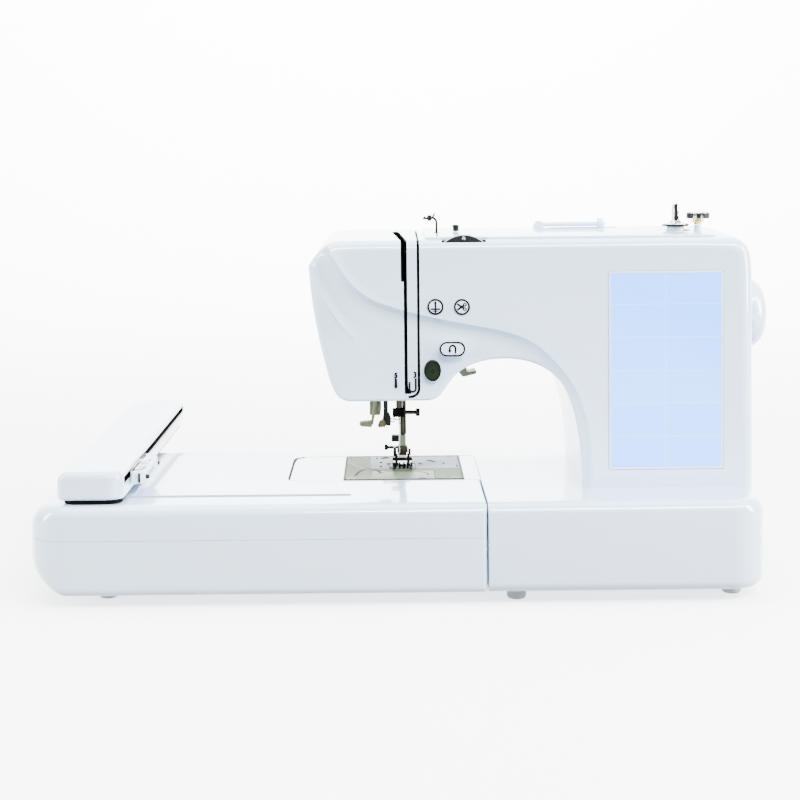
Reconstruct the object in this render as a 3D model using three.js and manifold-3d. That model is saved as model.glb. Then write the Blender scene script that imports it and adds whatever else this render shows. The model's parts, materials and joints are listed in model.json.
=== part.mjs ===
// Free-standing embroidery and sewing machine with its embroidery unit fitted.
// Millimetres. X runs from the unit (left) to the handwheel (right), Y from the front to the
// back, and Z up from the table. Inside this file X = 0 is near the needle and Y = 0 is the
// front face; the last lines move the origin to the middle of the footprint.
import * as THREE from 'three';
import { mergeVertices } from 'three/addons/utils/BufferGeometryUtils.js';
import Module from 'manifold-3d';

const wasm = await Module();
wasm.setup();

// ---------------------------------------------------------------- driving dimensions
const GAP = 0.3;                       // clearance between neighbouring pieces
const WALL = 2.6;                      // housing wall thickness

const UNIT_LEFT = -298;                // left end of the embroidery unit
const WHEEL_FACE = 326;                // outer face of the handwheel
const DEPTH = 381;                     // front face to the back end of the carriage
const FOOT_HEIGHT = 9.2;
const DECK = 82.6;                     // top of the unit, the free arm and the base
const TOP = 291;                       // top of the arm
const ARM_FRONT = 55;                  // front face of head, arm and column
const ARM_REAR = 190;
const SEAM_Y = 164;                    // front and rear shells meet here
const BASE_LEFT = 74;
const BASE_RIGHT = 300;
const BASE_DEPTH = 202;
const BASE_BOTTOM = 13;
const HEAD_BOTTOM = 157;
const EDGE_ROUND = 8;                  // rounding of the housing's front and rear edges

const SLOT_X = [8.8, 11];              // thread slot between face cover and front cover
const SLOT_END = 163;
const SLOT_WIDE = { x: 6.5, z: 257 };
const COVER_JOINT = 9.3;                  // the slot narrows to a seam below this height
const SHAFT = { y: 132, z: 221, r: 5 };
const LOWER = { y: 132, z: 44, r: 4 };
const NEEDLE = { x: 4.5, y: 147, barR: 2.9 };
const PRESSER = { x: 8, y: 160, barR: 2.9 };
const HOOK = { x: 7, y: 118.7, r: 19.5 };
const PULLEY_X = [262, 274];
const DRIVE_X = [279, 289.4];
const PULLEY_R = 18;
const DRIVE_R = 24;
const MOTOR = { y: 95, z: 120, r: 22, pulleyR: 6 };
const BELT = 2;                        // belt thickness

const SCREEN = { x: [178.5, 274], z: [98, 264] };
const PLATE = { x: [-44.5, 59.7], y: [95, 198] };
const ARM_PLAN = { x: [-92, 73.7], y: [93, 199], z: [26, DECK] };
const UNIT = { right: 73, rear: 234, bottom: 10, split: 55.6 };
const CARRIAGE = { x: [-274, -220], y: [8, DEPTH], z: [85.6, 109.4] };
const GUIDE = { y: 39, z: 34, r: 4 };
const HOOP_Y = [40, 120];

// ---------------------------------------------------------------- materials
const plastic = (color, roughness = 0.3) => new THREE.MeshStandardMaterial({ color, roughness });
const metal = (color, roughness = 0.35) =>
  new THREE.MeshStandardMaterial({ color, roughness, metalness: 1 });
const WHITE = plastic(0xe9edf4, 0.22);
const CREAM = plastic(0xd9d8c4, 0.45);
const BLACK = plastic(0x16181a, 0.4);
const GREEN = plastic(0x14211c, 0.3);
const SCREEN_BLUE = plastic(0xcde0ff, 0.15);
const CLEAR = plastic(0xc9d2cf, 0.1);
const RUBBER = plastic(0x2a2b2d, 0.85);
const STEEL = metal(0xb4b5b0, 0.3);
const CHROME = metal(0xd8dade, 0.12);
const CAST = metal(0xa9adb1, 0.6);
const BRASS = metal(0xc9a44c, 0.35);

// ---------------------------------------------------------------- solids and booleans
function toSolid(geometry) {
  const bare = geometry.clone();
  bare.deleteAttribute('normal');
  bare.deleteAttribute('uv');
  const merged = mergeVertices(bare, 1e-4);
  return new wasm.Manifold(new wasm.Mesh({
    numProp: 3,
    vertProperties: new Float32Array(merged.attributes.position.array),
    triVerts: new Uint32Array(merged.index.array),
  }));
}

function toGeometry(solid) {
  const mesh = solid.getMesh();
  const geometry = new THREE.BufferGeometry();
  geometry.setAttribute('position', new THREE.BufferAttribute(mesh.vertProperties, 3));
  geometry.setIndex(new THREE.BufferAttribute(mesh.triVerts, 1));
  geometry.computeVertexNormals();
  return geometry;
}

const join = (...solids) => solids.reduce((a, b) => a.add(b));
const cut = (solid, ...tools) => tools.reduce((a, b) => a.subtract(b), solid);

function box(x, y, z) {
  const geometry = new THREE.BoxGeometry(x[1] - x[0], y[1] - y[0], z[1] - z[0]);
  geometry.translate((x[0] + x[1]) / 2, (y[0] + y[1]) / 2, (z[0] + z[1]) / 2);
  return toSolid(geometry);
}

// Turns a shape drawn in the plane across an axis into place along that axis:
// 'x' draws in (Y, Z), 'y' draws in (X, Z) and 'z' draws in (X, Y).
function alongAxis(geometry, axis, from, to) {
  if (axis === 'x') {
    const turn = new THREE.Matrix4().makeBasis(
      new THREE.Vector3(0, 1, 0), new THREE.Vector3(0, 0, 1), new THREE.Vector3(1, 0, 0));
    geometry.applyMatrix4(turn).translate(from, 0, 0);
  } else if (axis === 'y') {
    geometry.rotateX(Math.PI / 2).translate(0, to, 0);
  } else {
    geometry.translate(0, 0, from);
  }
  return geometry;
}

function prism(points, axis, from, to, bevel = 0) {
  const geometry = new THREE.ExtrudeGeometry(new THREE.Shape(points), {
    depth: to - from - 2 * bevel,
    bevelEnabled: bevel > 0,
    bevelThickness: bevel,
    bevelSize: bevel,
    bevelOffset: -bevel,
    bevelSegments: bevel > 3 ? 3 : 2,
  });
  if (bevel) geometry.translate(0, 0, bevel);
  return toSolid(alongAxis(geometry, axis, from, to));
}

const circle = (a, b, r, sides = 24) => Array.from({ length: sides }, (_, i) => {
  const angle = (2 * Math.PI * i) / sides;
  return new THREE.Vector2(a + r * Math.cos(angle), b + r * Math.sin(angle));
});
const rod = (axis, a, b, r, from, to, sides = 16) => prism(circle(a, b, r, sides), axis, from, to);

function ellipse(a, b, ra, rb, sides = 24) {
  return circle(0, 0, 1, sides).map((p) => new THREE.Vector2(a + ra * p.x, b + rb * p.y));
}

// Corners are [a, b, radius]; each one with a radius becomes an arc of a few steps.
function rounded(corners, steps = 4) {
  const points = [];
  corners.forEach(([a, b, r = 0], i) => {
    const here = new THREE.Vector2(a, b);
    if (!r) {
      points.push(here);
      return;
    }
    const [pa, pb] = corners.at(i - 1);
    const [na, nb] = corners[(i + 1) % corners.length];
    const back = new THREE.Vector2(pa - a, pb - b).normalize();
    const on = new THREE.Vector2(na - a, nb - b).normalize();
    const half = Math.acos(THREE.MathUtils.clamp(back.dot(on), -1, 1)) / 2;
    const reach = r / Math.tan(half);
    const start = here.clone().addScaledVector(back, reach);
    const end = here.clone().addScaledVector(on, reach);
    const middle = back.clone().add(on).normalize().multiplyScalar(r / Math.sin(half)).add(here);
    const from = start.clone().sub(middle).angle();
    let sweep = end.clone().sub(middle).angle() - from;
    if (sweep > Math.PI) sweep -= 2 * Math.PI;
    if (sweep < -Math.PI) sweep += 2 * Math.PI;
    for (let k = 0; k <= steps; k += 1) {
      const angle = from + (sweep * k) / steps;
      points.push(new THREE.Vector2(
        middle.x + r * Math.cos(angle), middle.y + r * Math.sin(angle)));
    }
  });
  return points;
}

const rectangle = (a, b, r = 0, steps = 4) => rounded(
  [[a[0], b[0], r], [a[1], b[0], r], [a[1], b[1], r], [a[0], b[1], r]], steps);

// Moves every side of an anticlockwise outline inwards by the same distance.
function inset(points, distance) {
  return points.map((p, i) => {
    const before = points.at(i - 1);
    const after = points[(i + 1) % points.length];
    const d1 = p.clone().sub(before).normalize();
    const d2 = after.clone().sub(p).normalize();
    const n1 = new THREE.Vector2(-d1.y, d1.x);
    const n2 = new THREE.Vector2(-d2.y, d2.x);
    const mitre = n1.add(n2);
    return p.clone().addScaledVector(mitre, (2 * distance) / mitre.lengthSq());
  });
}

// A turned piece. The profile is [radius, place along the axis].
function turned(axis, a, b, profile, sides = 24) {
  const build = (points) => {
    const geometry = new THREE.LatheGeometry(points, sides);
    geometry.rotateX(Math.PI / 2);
    if (axis === 'x') geometry.rotateY(Math.PI / 2).translate(0, a, b);
    if (axis === 'y') geometry.rotateX(-Math.PI / 2).translate(a, 0, b);
    if (axis === 'z') geometry.translate(a, b, 0);
    return toSolid(geometry);
  };
  const points = profile.map(([r, along]) => new THREE.Vector2(r, along));
  const first = build(points);
  return first.volume() > 0 ? first : build(points.reverse());
}

// ---------------------------------------------------------------- assembly
const machine = new THREE.Group();
machine.position.set(-(UNIT_LEFT + WHEEL_FACE) / 2, -DEPTH / 2, 0);

function add(name, solid, material) {
  const mesh = new THREE.Mesh(toGeometry(solid), material);
  mesh.name = name;
  machine.add(mesh);
}

// ---------------------------------------------------------------- housing
// Front view of head, arm and column, down to a line inside the base.
function bodyOutline() {
  const low = 60;
  const shape = new THREE.Shape();
  shape.moveTo(BASE_RIGHT, low);
  shape.lineTo(BASE_RIGHT, 262);
  shape.bezierCurveTo(BASE_RIGHT, 277, 296, TOP, 281, TOP);
  shape.lineTo(-48, TOP);
  shape.bezierCurveTo(-56, TOP - 0.5, -66, 280, -71, 270);
  shape.bezierCurveTo(-70, 240, -63, 205, -55, 178);
  shape.bezierCurveTo(-51, 165, -47, HEAD_BOTTOM, -36, HEAD_BOTTOM);
  shape.lineTo(27, HEAD_BOTTOM);
  shape.bezierCurveTo(40, HEAD_BOTTOM, 41, 165, 47, 173);
  shape.bezierCurveTo(56, 185, 72, 191, 92, 191);
  shape.bezierCurveTo(116, 191, 134, 181, 142, 167);
  shape.bezierCurveTo(153, 147, 157, 115, 157, 84);
  shape.lineTo(157, low);
  return shape.getPoints(5);
}

function bodyBlock(depth) {
  const outline = depth ? inset(bodyOutline(), depth) : bodyOutline();
  return prism(outline, 'y', ARM_FRONT + depth, ARM_REAR - depth, EDGE_ROUND - depth);
}

function baseBlock(depth) {
  const x = [BASE_LEFT + depth, BASE_RIGHT - depth];
  const y = [depth, BASE_DEPTH - depth];
  const top = DECK - depth;
  const bottom = depth ? BASE_BOTTOM - 5 : BASE_BOTTOM;
  const plan = rounded([[x[0], y[0], 3], [x[1], y[0], 30 - depth],
    [x[1], y[1], 24 - depth], [x[0], y[1], 3]], 5);
  const front = rounded([[x[0], bottom], [x[1], bottom, depth ? 0 : 9],
    [x[1], top, 13 - depth], [x[0], top, 3]]);
  const side = rounded([[y[0], bottom, depth ? 0 : 5], [y[1], bottom, depth ? 0 : 5],
    [y[1], top, 9 - depth], [y[0], top, 10 - depth]]);
  return prism(plan, 'z', bottom, top)
    .intersect(prism(front, 'y', -1, BASE_DEPTH + 1))
    .intersect(prism(side, 'x', BASE_LEFT - 1, BASE_RIGHT + 1));
}

const BUTTONS = {
  needle_button: { x: 34.7, z: 236, rx: 6.7, rz: 6.7, material: WHITE },
  scissors_button: { x: 56.7, z: 235.7, rx: 6.7, rz: 6.7, material: WHITE },
  reverse_button: { x: 48.5, z: 200.6, rx: 10.9, rz: 6.3, material: WHITE },
  start_button: { x: 32, z: 182.4, rx: 6.7, rz: 8.4, material: GREEN },
};
const DIAL = { x: 59, z: 270, r: 25, y: [60.5, 66.5], notch: 18.6, pocket: [59.8, 69] };
const WINDER = { x: 244.6, y: 110 };
const STOP_X = 264;
const LAMP = { x: [15, 25], y: [98, 110] };
const LEVER = { x: [60, 71], y: 168, z: 197 };
const SWITCH = { x: 292, y: [97, 115], z: 46, r: 9.7 };
const INLET = { x: [284, 300.6], y: [128, 156], z: [34, 58] };
const THROUGH = [ARM_FRONT - 1, ARM_FRONT + 12];

function faceOpenings() {
  const screen = box([SCREEN.x[0] - GAP, SCREEN.x[1] + GAP], THROUGH,
    [SCREEN.z[0] - GAP, SCREEN.z[1] + GAP]);
  const holes = Object.values(BUTTONS).map((b) => prism(
    ellipse(b.x, b.z, b.rx + GAP, b.rz + GAP), 'y', ...THROUGH));
  const notchX = [DIAL.x - DIAL.notch, DIAL.x + DIAL.notch];
  const dialNotch = join(box(notchX, [ARM_FRONT - 1, DIAL.pocket[1]], [TOP - 2, TOP + 1]),
    box(notchX, DIAL.pocket, [TOP - 6, TOP]));
  const guideSlot = prism(rounded([[19.8, 170], [13.4, 163], [13.4, 161.4], [21.2, 169.4],
    [21.2, 287], [19.8, 287]]), 'y', ...THROUGH);
  return [screen, dialNotch, guideSlot, ...holes];
}

function headOpenings() {
  const bars = box([-34, 24], [113, SEAM_Y + 12], [HEAD_BOTTOM - 1, HEAD_BOTTOM + 5]);
  const lens = box([LAMP.x[0] - GAP, LAMP.x[1] + GAP], [LAMP.y[0] - GAP, LAMP.y[1] + GAP],
    [HEAD_BOTTOM - 1, HEAD_BOTTOM + 5]);
  const lever = box([LEVER.x[0] - 1.5, LEVER.x[1] + 1.5], [157, ARM_REAR + 1], [150, 217]);
  const winder = prism(rectangle([WINDER.x - 9, WINDER.x + 13], [WINDER.y - 9, WINDER.y + 9], 8),
    'z', TOP - 6, TOP + 5);
  return [bars, lens, lever, winder];
}

function baseOpenings() {
  const armDoor = box([BASE_LEFT - 1, BASE_LEFT + 5], [99, 192], [27, 78]);
  const wheelHole = rod('x', SHAFT.y, SHAFT.z, 9, BASE_RIGHT - 6, BASE_RIGHT + 1, 20);
  const rocker = box([BASE_RIGHT - 6, BASE_RIGHT + 1], [SWITCH.y[0] - GAP, SWITCH.y[1] + GAP],
    [SWITCH.z - 10.4, SWITCH.z + 10.4]);
  const inlet = box([BASE_RIGHT - 6, BASE_RIGHT + 1], [INLET.y[0] - GAP, INLET.y[1] + GAP],
    [INLET.z[0] - GAP, INLET.z[1] + GAP]);
  return [armDoor, wheelHole, rocker, inlet];
}

function makeHousing() {
  const outer = join(bodyBlock(0), baseBlock(0));
  const inner = join(bodyBlock(WALL), baseBlock(WALL));
  const shell = cut(outer, inner, ...faceOpenings(), ...headOpenings(), ...baseOpenings());
  const wide = [-400, 400];
  const high = [0, 400];
  const front = shell.intersect(box(wide, [-1, SEAM_Y], high));
  const rear = shell.intersect(box(wide, [SEAM_Y + GAP, 300], high));
  const leftOfSlot = join(box([-100, SLOT_WIDE.x], [0, SEAM_Y], high),
    box([0, SLOT_X[0]], [0, SEAM_Y], [0, SLOT_WIDE.z]),
    box([0, COVER_JOINT], [0, SEAM_Y], [0, SLOT_END]));
  const rightOfSlot = join(box([SLOT_X[1], 400], [-1, SEAM_Y], high),
    box([COVER_JOINT + GAP, SLOT_X[1] + 1], [-1, SEAM_Y], [0, SLOT_END]));
  add('front_cover', front.intersect(rightOfSlot), WHITE);
  add('face_cover', front.intersect(leftOfSlot), WHITE);
  add('rear_cover', rear, WHITE);
}

function makeTopCover() {
  const z = [TOP + GAP, TOP + 2];
  const plate = prism(rectangle([27, 272], [71, 156], 6), 'z', ...z);
  const cheek = (y) => box([126, 134], y, [TOP + 1, 301.5]);
  const peg = rod('z', 55, 118, 2.2, TOP + 1, 301, 10);
  const stopPost = rod('z', STOP_X, WINDER.y, 3.2, TOP + 1, 299.4, 12);
  const slot = prism(rectangle([WINDER.x - 9, WINDER.x + 13], [WINDER.y - 9, WINDER.y + 9], 8),
    'z', TOP, TOP + 5);
  const dialNotch = box([DIAL.x - 19.5, DIAL.x + 19.5], [60, 72.5], [TOP, TOP + 5]);
  add('top_cover', join(cut(plate, slot, dialNotch), cheek([143, 146]), cheek([154, 157]),
    peg, stopPost), WHITE);
}

function makeBottomCover() {
  const plan = rounded([[77, 3, 2], [297, 3, 28], [297, 199, 22], [77, 199, 2]]);
  add('bottom_cover', prism(plan, 'z', FOOT_HEIGHT + GAP, BASE_BOTTOM - GAP), WHITE);
}

function makeFreeArm() {
  const block = (depth) => {
    const [x0, x1] = ARM_PLAN.x;
    const y = [ARM_PLAN.y[0] + depth, ARM_PLAN.y[1] - depth];
    const right = depth ? x1 + 2 : x1;
    const plan = rounded([[x0 + depth, y[0], 12 - depth], [right, y[0]], [right, y[1]],
      [x0 + depth, y[1], 12 - depth]]);
    const side = rectangle(y, [ARM_PLAN.z[0] + depth, ARM_PLAN.z[1] - depth], depth ? 0.6 : 3, 3);
    return prism(plan, 'z', ARM_PLAN.z[0] + depth, ARM_PLAN.z[1] - depth)
      .intersect(prism(side, 'x', x0 - 1, right + 1));
  };
  const window = box([PLATE.x[0] - GAP, PLATE.x[1] + GAP], [PLATE.y[0] - GAP, PLATE.y[1] + GAP],
    [DECK - 4, DECK + 1]);
  add('free_arm_cover', cut(block(0), block(2.4), window), WHITE);
}

// ---------------------------------------------------------------- frame and drive
function bearing(x, y, z, reach, bore) {
  const block = box(x, [y - 12, y + 12], [z - reach, z + reach]);
  return cut(block, rod('x', y, z, bore, x[0] - 1, x[1] + 1));
}

function makeFrame() {
  const bed = box([-84, 78], [100, 186], [29, 36]);
  const baseBar = box([76.8, 256], [100, 160], [20, 36]);
  const column = box([204, 240], [146, 162], [30, 262]);
  const arm = box([24, 240], [146, 162], [243, 262]);
  const guideBlock = (z) => cut(box([-3, 30], [141, 168], z),
    rod('z', NEEDLE.x, NEEDLE.y, NEEDLE.barR + GAP, 0, 300),
    rod('z', PRESSER.x, PRESSER.y, PRESSER.barR + GAP, 0, 300));
  const hanger = box([22, 30], [141, 168], [176, 262]);
  const brackets = [[34, 46], [206, 218]].map((x) => join(
    bearing(x, SHAFT.y, SHAFT.z, 12, SHAFT.r + GAP),
    box(x, [144 - GAP, 150], [209, 250])));
  const lowBearings = [[-30, -20], [70, 80], [224, 234]].map((x) => join(
    bearing(x, LOWER.y, LOWER.z, 8, LOWER.r + GAP), box(x, [120, 144], [34, 37])));
  const posts = [[-41, 101], [52, 101], [-41, 184], [52, 184]].map(([x, y]) => box(
    [x, x + 6], [y, y + 6], [35, 80.2]));
  add('main_frame', join(bed, baseBar, column, arm, guideBlock([246, 260]),
    guideBlock([176, 188]), hanger, ...brackets, ...lowBearings, ...posts), CAST);
}

function makeMainShaft() {
  const crankR = 15;
  const profile = [[0, 14], [crankR, 14], [crankR, 21], [SHAFT.r, 21], [SHAFT.r, 289.4],
    [0, 289.4]];
  const crankPin = rod('x', SHAFT.y, SHAFT.z + 10, 2.4, 11, 15, 12);
  add('main_shaft', join(turned('x', SHAFT.y, SHAFT.z, profile, 20), crankPin), STEEL);
}

function makeHandwheel() {
  const R = 31;
  const profile = [[0, 290], [7, 290], [7, 301], [R - 1.5, 301.2], [R, 303], [R, 312],
    [R - 3, 319], [R - 9, 324], [R - 18, WHEEL_FACE], [0, WHEEL_FACE]];
  add('handwheel', turned('x', SHAFT.y, SHAFT.z, profile, 40), WHITE);
}

function makePulleys() {
  const bore = SHAFT.r + GAP;
  add('upper_pulley', turned('x', SHAFT.y, SHAFT.z, [[bore, PULLEY_X[0]],
    [PULLEY_R, PULLEY_X[0]], [PULLEY_R, PULLEY_X[1]], [10, PULLEY_X[1]], [10, DRIVE_X[0]],
    [DRIVE_R, DRIVE_X[0]], [DRIVE_R, DRIVE_X[1]], [bore, DRIVE_X[1]], [bore, PULLEY_X[0]]],
  28), CAST);
  const low = LOWER.r + GAP;
  add('lower_pulley', turned('x', LOWER.y, LOWER.z, [[low, PULLEY_X[0]],
    [PULLEY_R, PULLEY_X[0]], [PULLEY_R, PULLEY_X[1]], [low, PULLEY_X[1]], [low, PULLEY_X[0]]],
  28), CAST);
}

// The outline of a belt around two wheels in the (Y, Z) plane: two arcs and their tangents.
function beltOutline(low, lowR, high, highR, steps = 16) {
  const along = new THREE.Vector2(high.y - low.y, high.z - low.z);
  const lean = Math.acos((lowR - highR) / along.length());
  const angle = along.angle();
  const arc = (wheel, r, from, sweep) => Array.from({ length: steps + 1 }, (_, i) => {
    const a = from + (sweep * i) / steps;
    return new THREE.Vector2(wheel.y + r * Math.cos(a), wheel.z + r * Math.sin(a));
  });
  return [...arc(high, highR, angle - lean, 2 * lean),
    ...arc(low, lowR, angle + lean, 2 * (Math.PI - lean))];
}

function belt(x, low, lowR, high, highR) {
  const layer = (extra, from, to) => prism(
    beltOutline(low, lowR + extra, high, highR + extra), 'x', from, to);
  return cut(layer(GAP + BELT, ...x), layer(GAP, x[0] - 1, x[1] + 1));
}

function makeBelts() {
  add('timing_belt', belt([PULLEY_X[0] + 1, PULLEY_X[1] - 1], LOWER, PULLEY_R, SHAFT, PULLEY_R),
    RUBBER);
  add('motor_belt', belt([DRIVE_X[0] + 1, DRIVE_X[1] - 1.4], MOTOR, MOTOR.pulleyR, SHAFT, DRIVE_R),
    RUBBER);
}

function makeMotor() {
  const profile = [[0, 196], [MOTOR.r - 2, 196], [MOTOR.r, 198], [MOTOR.r, 256],
    [MOTOR.r - 4, 258], [8, 258], [8, 261], [0, 261]];
  add('drive_motor', turned('x', MOTOR.y, MOTOR.z, profile, 28), STEEL);
  const r = MOTOR.pulleyR;
  add('motor_pulley', turned('x', MOTOR.y, MOTOR.z, [[0, 261.3], [2.5, 261.3], [2.5, DRIVE_X[0]],
    [r, DRIVE_X[0]], [r, DRIVE_X[1]], [0, DRIVE_X[1]]], 16), BRASS);
}

function makeLowerShaft() {
  const gearR = 6;
  const profile = [[0, -38], [LOWER.r, -38], [LOWER.r, HOOK.x - 7], [gearR, HOOK.x - 7],
    [gearR, HOOK.x + 7], [LOWER.r, HOOK.x + 7], [LOWER.r, 282], [0, 282]];
  add('lower_shaft', turned('x', LOWER.y, LOWER.z, profile, 16), STEEL);
}

// ---------------------------------------------------------------- hook, feed and plate
function makeHook() {
  const floor = 60;
  const rim = 76;
  const profile = [[0, 36.6], [4, 36.6], [4, 40], [7, 40], [7, 48], [4, 48], [4, 56], [12, 57],
    [HOOK.r, floor], [HOOK.r, rim], [HOOK.r - 3, rim], [HOOK.r - 3, floor + 3], [0, floor + 3]];
  const notch = box([HOOK.x + 8, HOOK.x + 30], [HOOK.y + 2, HOOK.y + 12], [floor + 5, rim + 1]);
  add('rotary_hook', cut(turned('z', HOOK.x, HOOK.y, profile, 28), notch), STEEL);
}

function makeNeedlePlate() {
  const z = [DECK - 2, DECK];
  const through = [DECK - 3, DECK + 1];
  const plate = prism(rectangle(PLATE.x, PLATE.y, 2, 2), 'z', ...z);
  const window = prism(rectangle([-21, 35], [97, 134], 5), 'z', ...through);
  const slots = [[-4.6, 0.6, 137, 166], [13.4, 18.6, 137, 166], [4.4, 9.6, 155, 166]].map(
    ([x0, x1, y0, y1]) => box([x0, x1], [y0, y1], through));
  const needleHole = prism(ellipse(NEEDLE.x, NEEDLE.y, 3.6, 1.6, 16), 'z', ...through);
  const screws = [[-38, 103], [52, 103], [-38, 190], [52, 190]].map(([x, y]) => rod(
    'z', x, y, 2.2, ...through, 12));
  add('needle_plate', cut(plate, window, needleHole, ...slots, ...screws), STEEL);
  const cover = prism(rectangle([-20.7, 34.7], [97.3, 133.7], 4.7), 'z', DECK - 1.7, DECK);
  const grip = box([20, 26], [99, 103], [DECK - 0.6, DECK + 1]);
  add('bobbin_cover', cut(cover, grip), CLEAR);
}

function makeFeedDog() {
  const z = [70, 78];
  const base = join(box([-4, 18], [157, 166 - 0.4], z), box([-4, 0], [138, 160], z),
    box([14, 18], [138, 160], z));
  const toothRow = (x, from, count) => Array.from({ length: count }, (_, i) => {
    const y = from + 3 * i;
    return prism([new THREE.Vector2(y, 77), new THREE.Vector2(y + 2.8, 77),
      new THREE.Vector2(y + 2.8, 82.2), new THREE.Vector2(y, 80.6)], 'x', ...x);
  });
  add('feed_dog', join(base, ...toothRow([-4, 0], 139, 8), ...toothRow([14, 18], 139, 8),
    ...toothRow([5, 9], 157, 2)), STEEL);
}

// ---------------------------------------------------------------- needle and presser foot
function makeNeedleBar() {
  add('needle_bar', rod('z', NEEDLE.x, NEEDLE.y, NEEDLE.barR, 136.3, 272), CHROME);
  const clamp = box([NEEDLE.x - 6, NEEDLE.x + 4.6], [141.4, 150.6], [129, 136]);
  const wire = box([NEEDLE.x - 5, NEEDLE.x + 1], [142, 143.4], [126.6, 130]);
  const bore = rod('z', NEEDLE.x, NEEDLE.y, 1.1, 128, 134, 8);
  add('needle_clamp', cut(join(clamp, wire), bore), CHROME);
  const screwX = NEEDLE.x + 4.6 + GAP;
  add('needle_clamp_screw', turned('x', 146, 132.6, [[0, screwX], [1.8, screwX],
    [1.8, 19], [3.6, 19.2], [3.6, 22.6], [0, 23]], 12), CHROME);
  add('needle', turned('z', NEEDLE.x, NEEDLE.y, [[0, 90], [0.25, 92], [0.5, 97], [0.5, 122],
    [0.8, 124], [0.8, 133.6], [0, 133.6]], 8), CHROME);
}

function makeTakeUpLever() {
  const pivot = new THREE.Vector2(120, 245);
  const x = [9.1, 10.4];
  const arm = prism(rounded([[pivot.x - 2, pivot.y - 5], [pivot.x + 4, pivot.y + 4],
    [66, 284, 3], [59, 284, 2], [59, 277, 2]]), 'x', ...x);
  const hub = rod('x', pivot.x, pivot.y, 6.4, ...x, 16);
  const eye = rod('x', 63, 280.4, 1.3, 8, 12, 10);
  add('take_up_lever', cut(join(arm, hub), eye), CHROME);
}

function makePresser() {
  add('presser_bar', rod('z', PRESSER.x, PRESSER.y, PRESSER.barR, 110.4, 236), CHROME);
  const x = [3.8, 10.2];
  const body = box(x, [152.4, 166], [101, 110.1]);
  const shank = box([4.8, 9.2], [153, 160], [90.6, 102]);
  add('foot_holder', join(body, shank), CREAM);
  add('foot_screw', turned('x', 160, 98.6, [[0, -9], [2.6, -9], [2.6, -6], [1.3, -5.8],
    [1.3, 4.4 - GAP], [0, 4.4 - GAP]], 12), CHROME);
  makeFoot();
}

function makeFoot() {
  const sole = prism(rounded([[-2, 136, 2], [16, 136, 2], [16, 166, 3], [-2, 166, 3]], 2),
    'z', DECK + 0.4, DECK + 2.2);
  const toes = [[2.6, 4.6], [9.4, 11.4]].map((x) => box(x, [130, 143], [DECK, DECK + 3]));
  const needleSlot = box([1.4, 12.6], [144.6, 149.4], [DECK, DECK + 3]);
  const cheeks = [[2, 4.5], [9.5, 12]].map((x) => box(x, [153, 160], [DECK + 1.4, 92.4]));
  const pin = rod('x', 156.5, 88.6, 1.1, 2, 12, 10);
  add('presser_foot', cut(join(sole, ...cheeks, pin), needleSlot, ...toes), CHROME);
}

function makePresserLever() {
  const hub = rod('x', LEVER.y, LEVER.z, 6, ...LEVER.x, 16);
  const arm = prism(rounded([[163.4, 197], [165.6, 166, 2], [164, 160, 2], [190, 157.6, 2],
    [190, 163, 2], [173.6, 167, 3], [172.6, 197]]), 'x', ...LEVER.x);
  add('presser_lever', join(hub, arm), CREAM);
}

function makeThreader() {
  const grip = prism(rounded([[-31, 121.6, 2], [-20, 120.8], [-19, 126], [-30.4, 125.4, 2]]),
    'y', 117, 125);
  const stem = prism([new THREE.Vector2(-20.6, 124), new THREE.Vector2(-18.6, 124),
    new THREE.Vector2(-15.6, 196), new THREE.Vector2(-18.4, 196)], 'y', 118.4, 122);
  const bridge = join(box([-19, -6], [118.4, 122], [190, 196]),
    box([-9.6, -6], [118.4, 156], [190, 196]));
  const shaft = box([-8.8, -6.4], [152.4, 155], [130, 191]);
  const head = box([-10, -4], [150.6, 156], [121, 132]);
  const prongs = [122.6, 125.4].map((z) => box([-5, 1], [152.6, 154.2], [z, z + 1]));
  add('threader', join(grip, stem, bridge, shaft, head, ...prongs), CREAM);
}

function makeButtonholeLever() {
  const x = [-20.4, -13];
  const post = box(x, [150, 156], [134, 204]);
  const tab = prism(rounded([[-22, 131, 1], [-11.6, 131.4, 1], [-11.6, 142], [-22, 142, 1]]),
    'y', 147, 158);
  add('buttonhole_lever', join(post, tab), CREAM);
}

// ---------------------------------------------------------------- controls and top
function makeButtons() {
  Object.entries(BUTTONS).forEach(([name, b]) => {
    const cap = prism(ellipse(b.x, b.z, b.rx, b.rz), 'y', ARM_FRONT - 0.8, 61, 0.4);
    const flange = prism(ellipse(b.x, b.z, b.rx + 1.6, b.rz + 1.6, 16), 'y', 58.2, 60);
    add(name, join(cap, flange), b.material);
  });
}

function makeScreen() {
  const panel = prism(rectangle(SCREEN.x, SCREEN.z, 1.5, 2), 'y', ARM_FRONT - 0.4, 58.6);
  const board = box([184, 268], [58, 67], [104, 258]);
  add('touch_screen', join(panel, board), SCREEN_BLUE);
}

function makeTensionDial() {
  const teeth = 36;
  const outline = Array.from({ length: 2 * teeth }, (_, i) => {
    const angle = (Math.PI * i) / teeth;
    const r = DIAL.r - (i % 2 ? 0.8 : 0);
    return new THREE.Vector2(DIAL.x + r * Math.cos(angle), DIAL.z + r * Math.sin(angle));
  });
  const hub = rod('y', DIAL.x, DIAL.z, 5, DIAL.y[1] - 1, 78, 12);
  add('tension_dial', join(prism(outline, 'y', ...DIAL.y), hub), BLACK);
}

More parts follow.
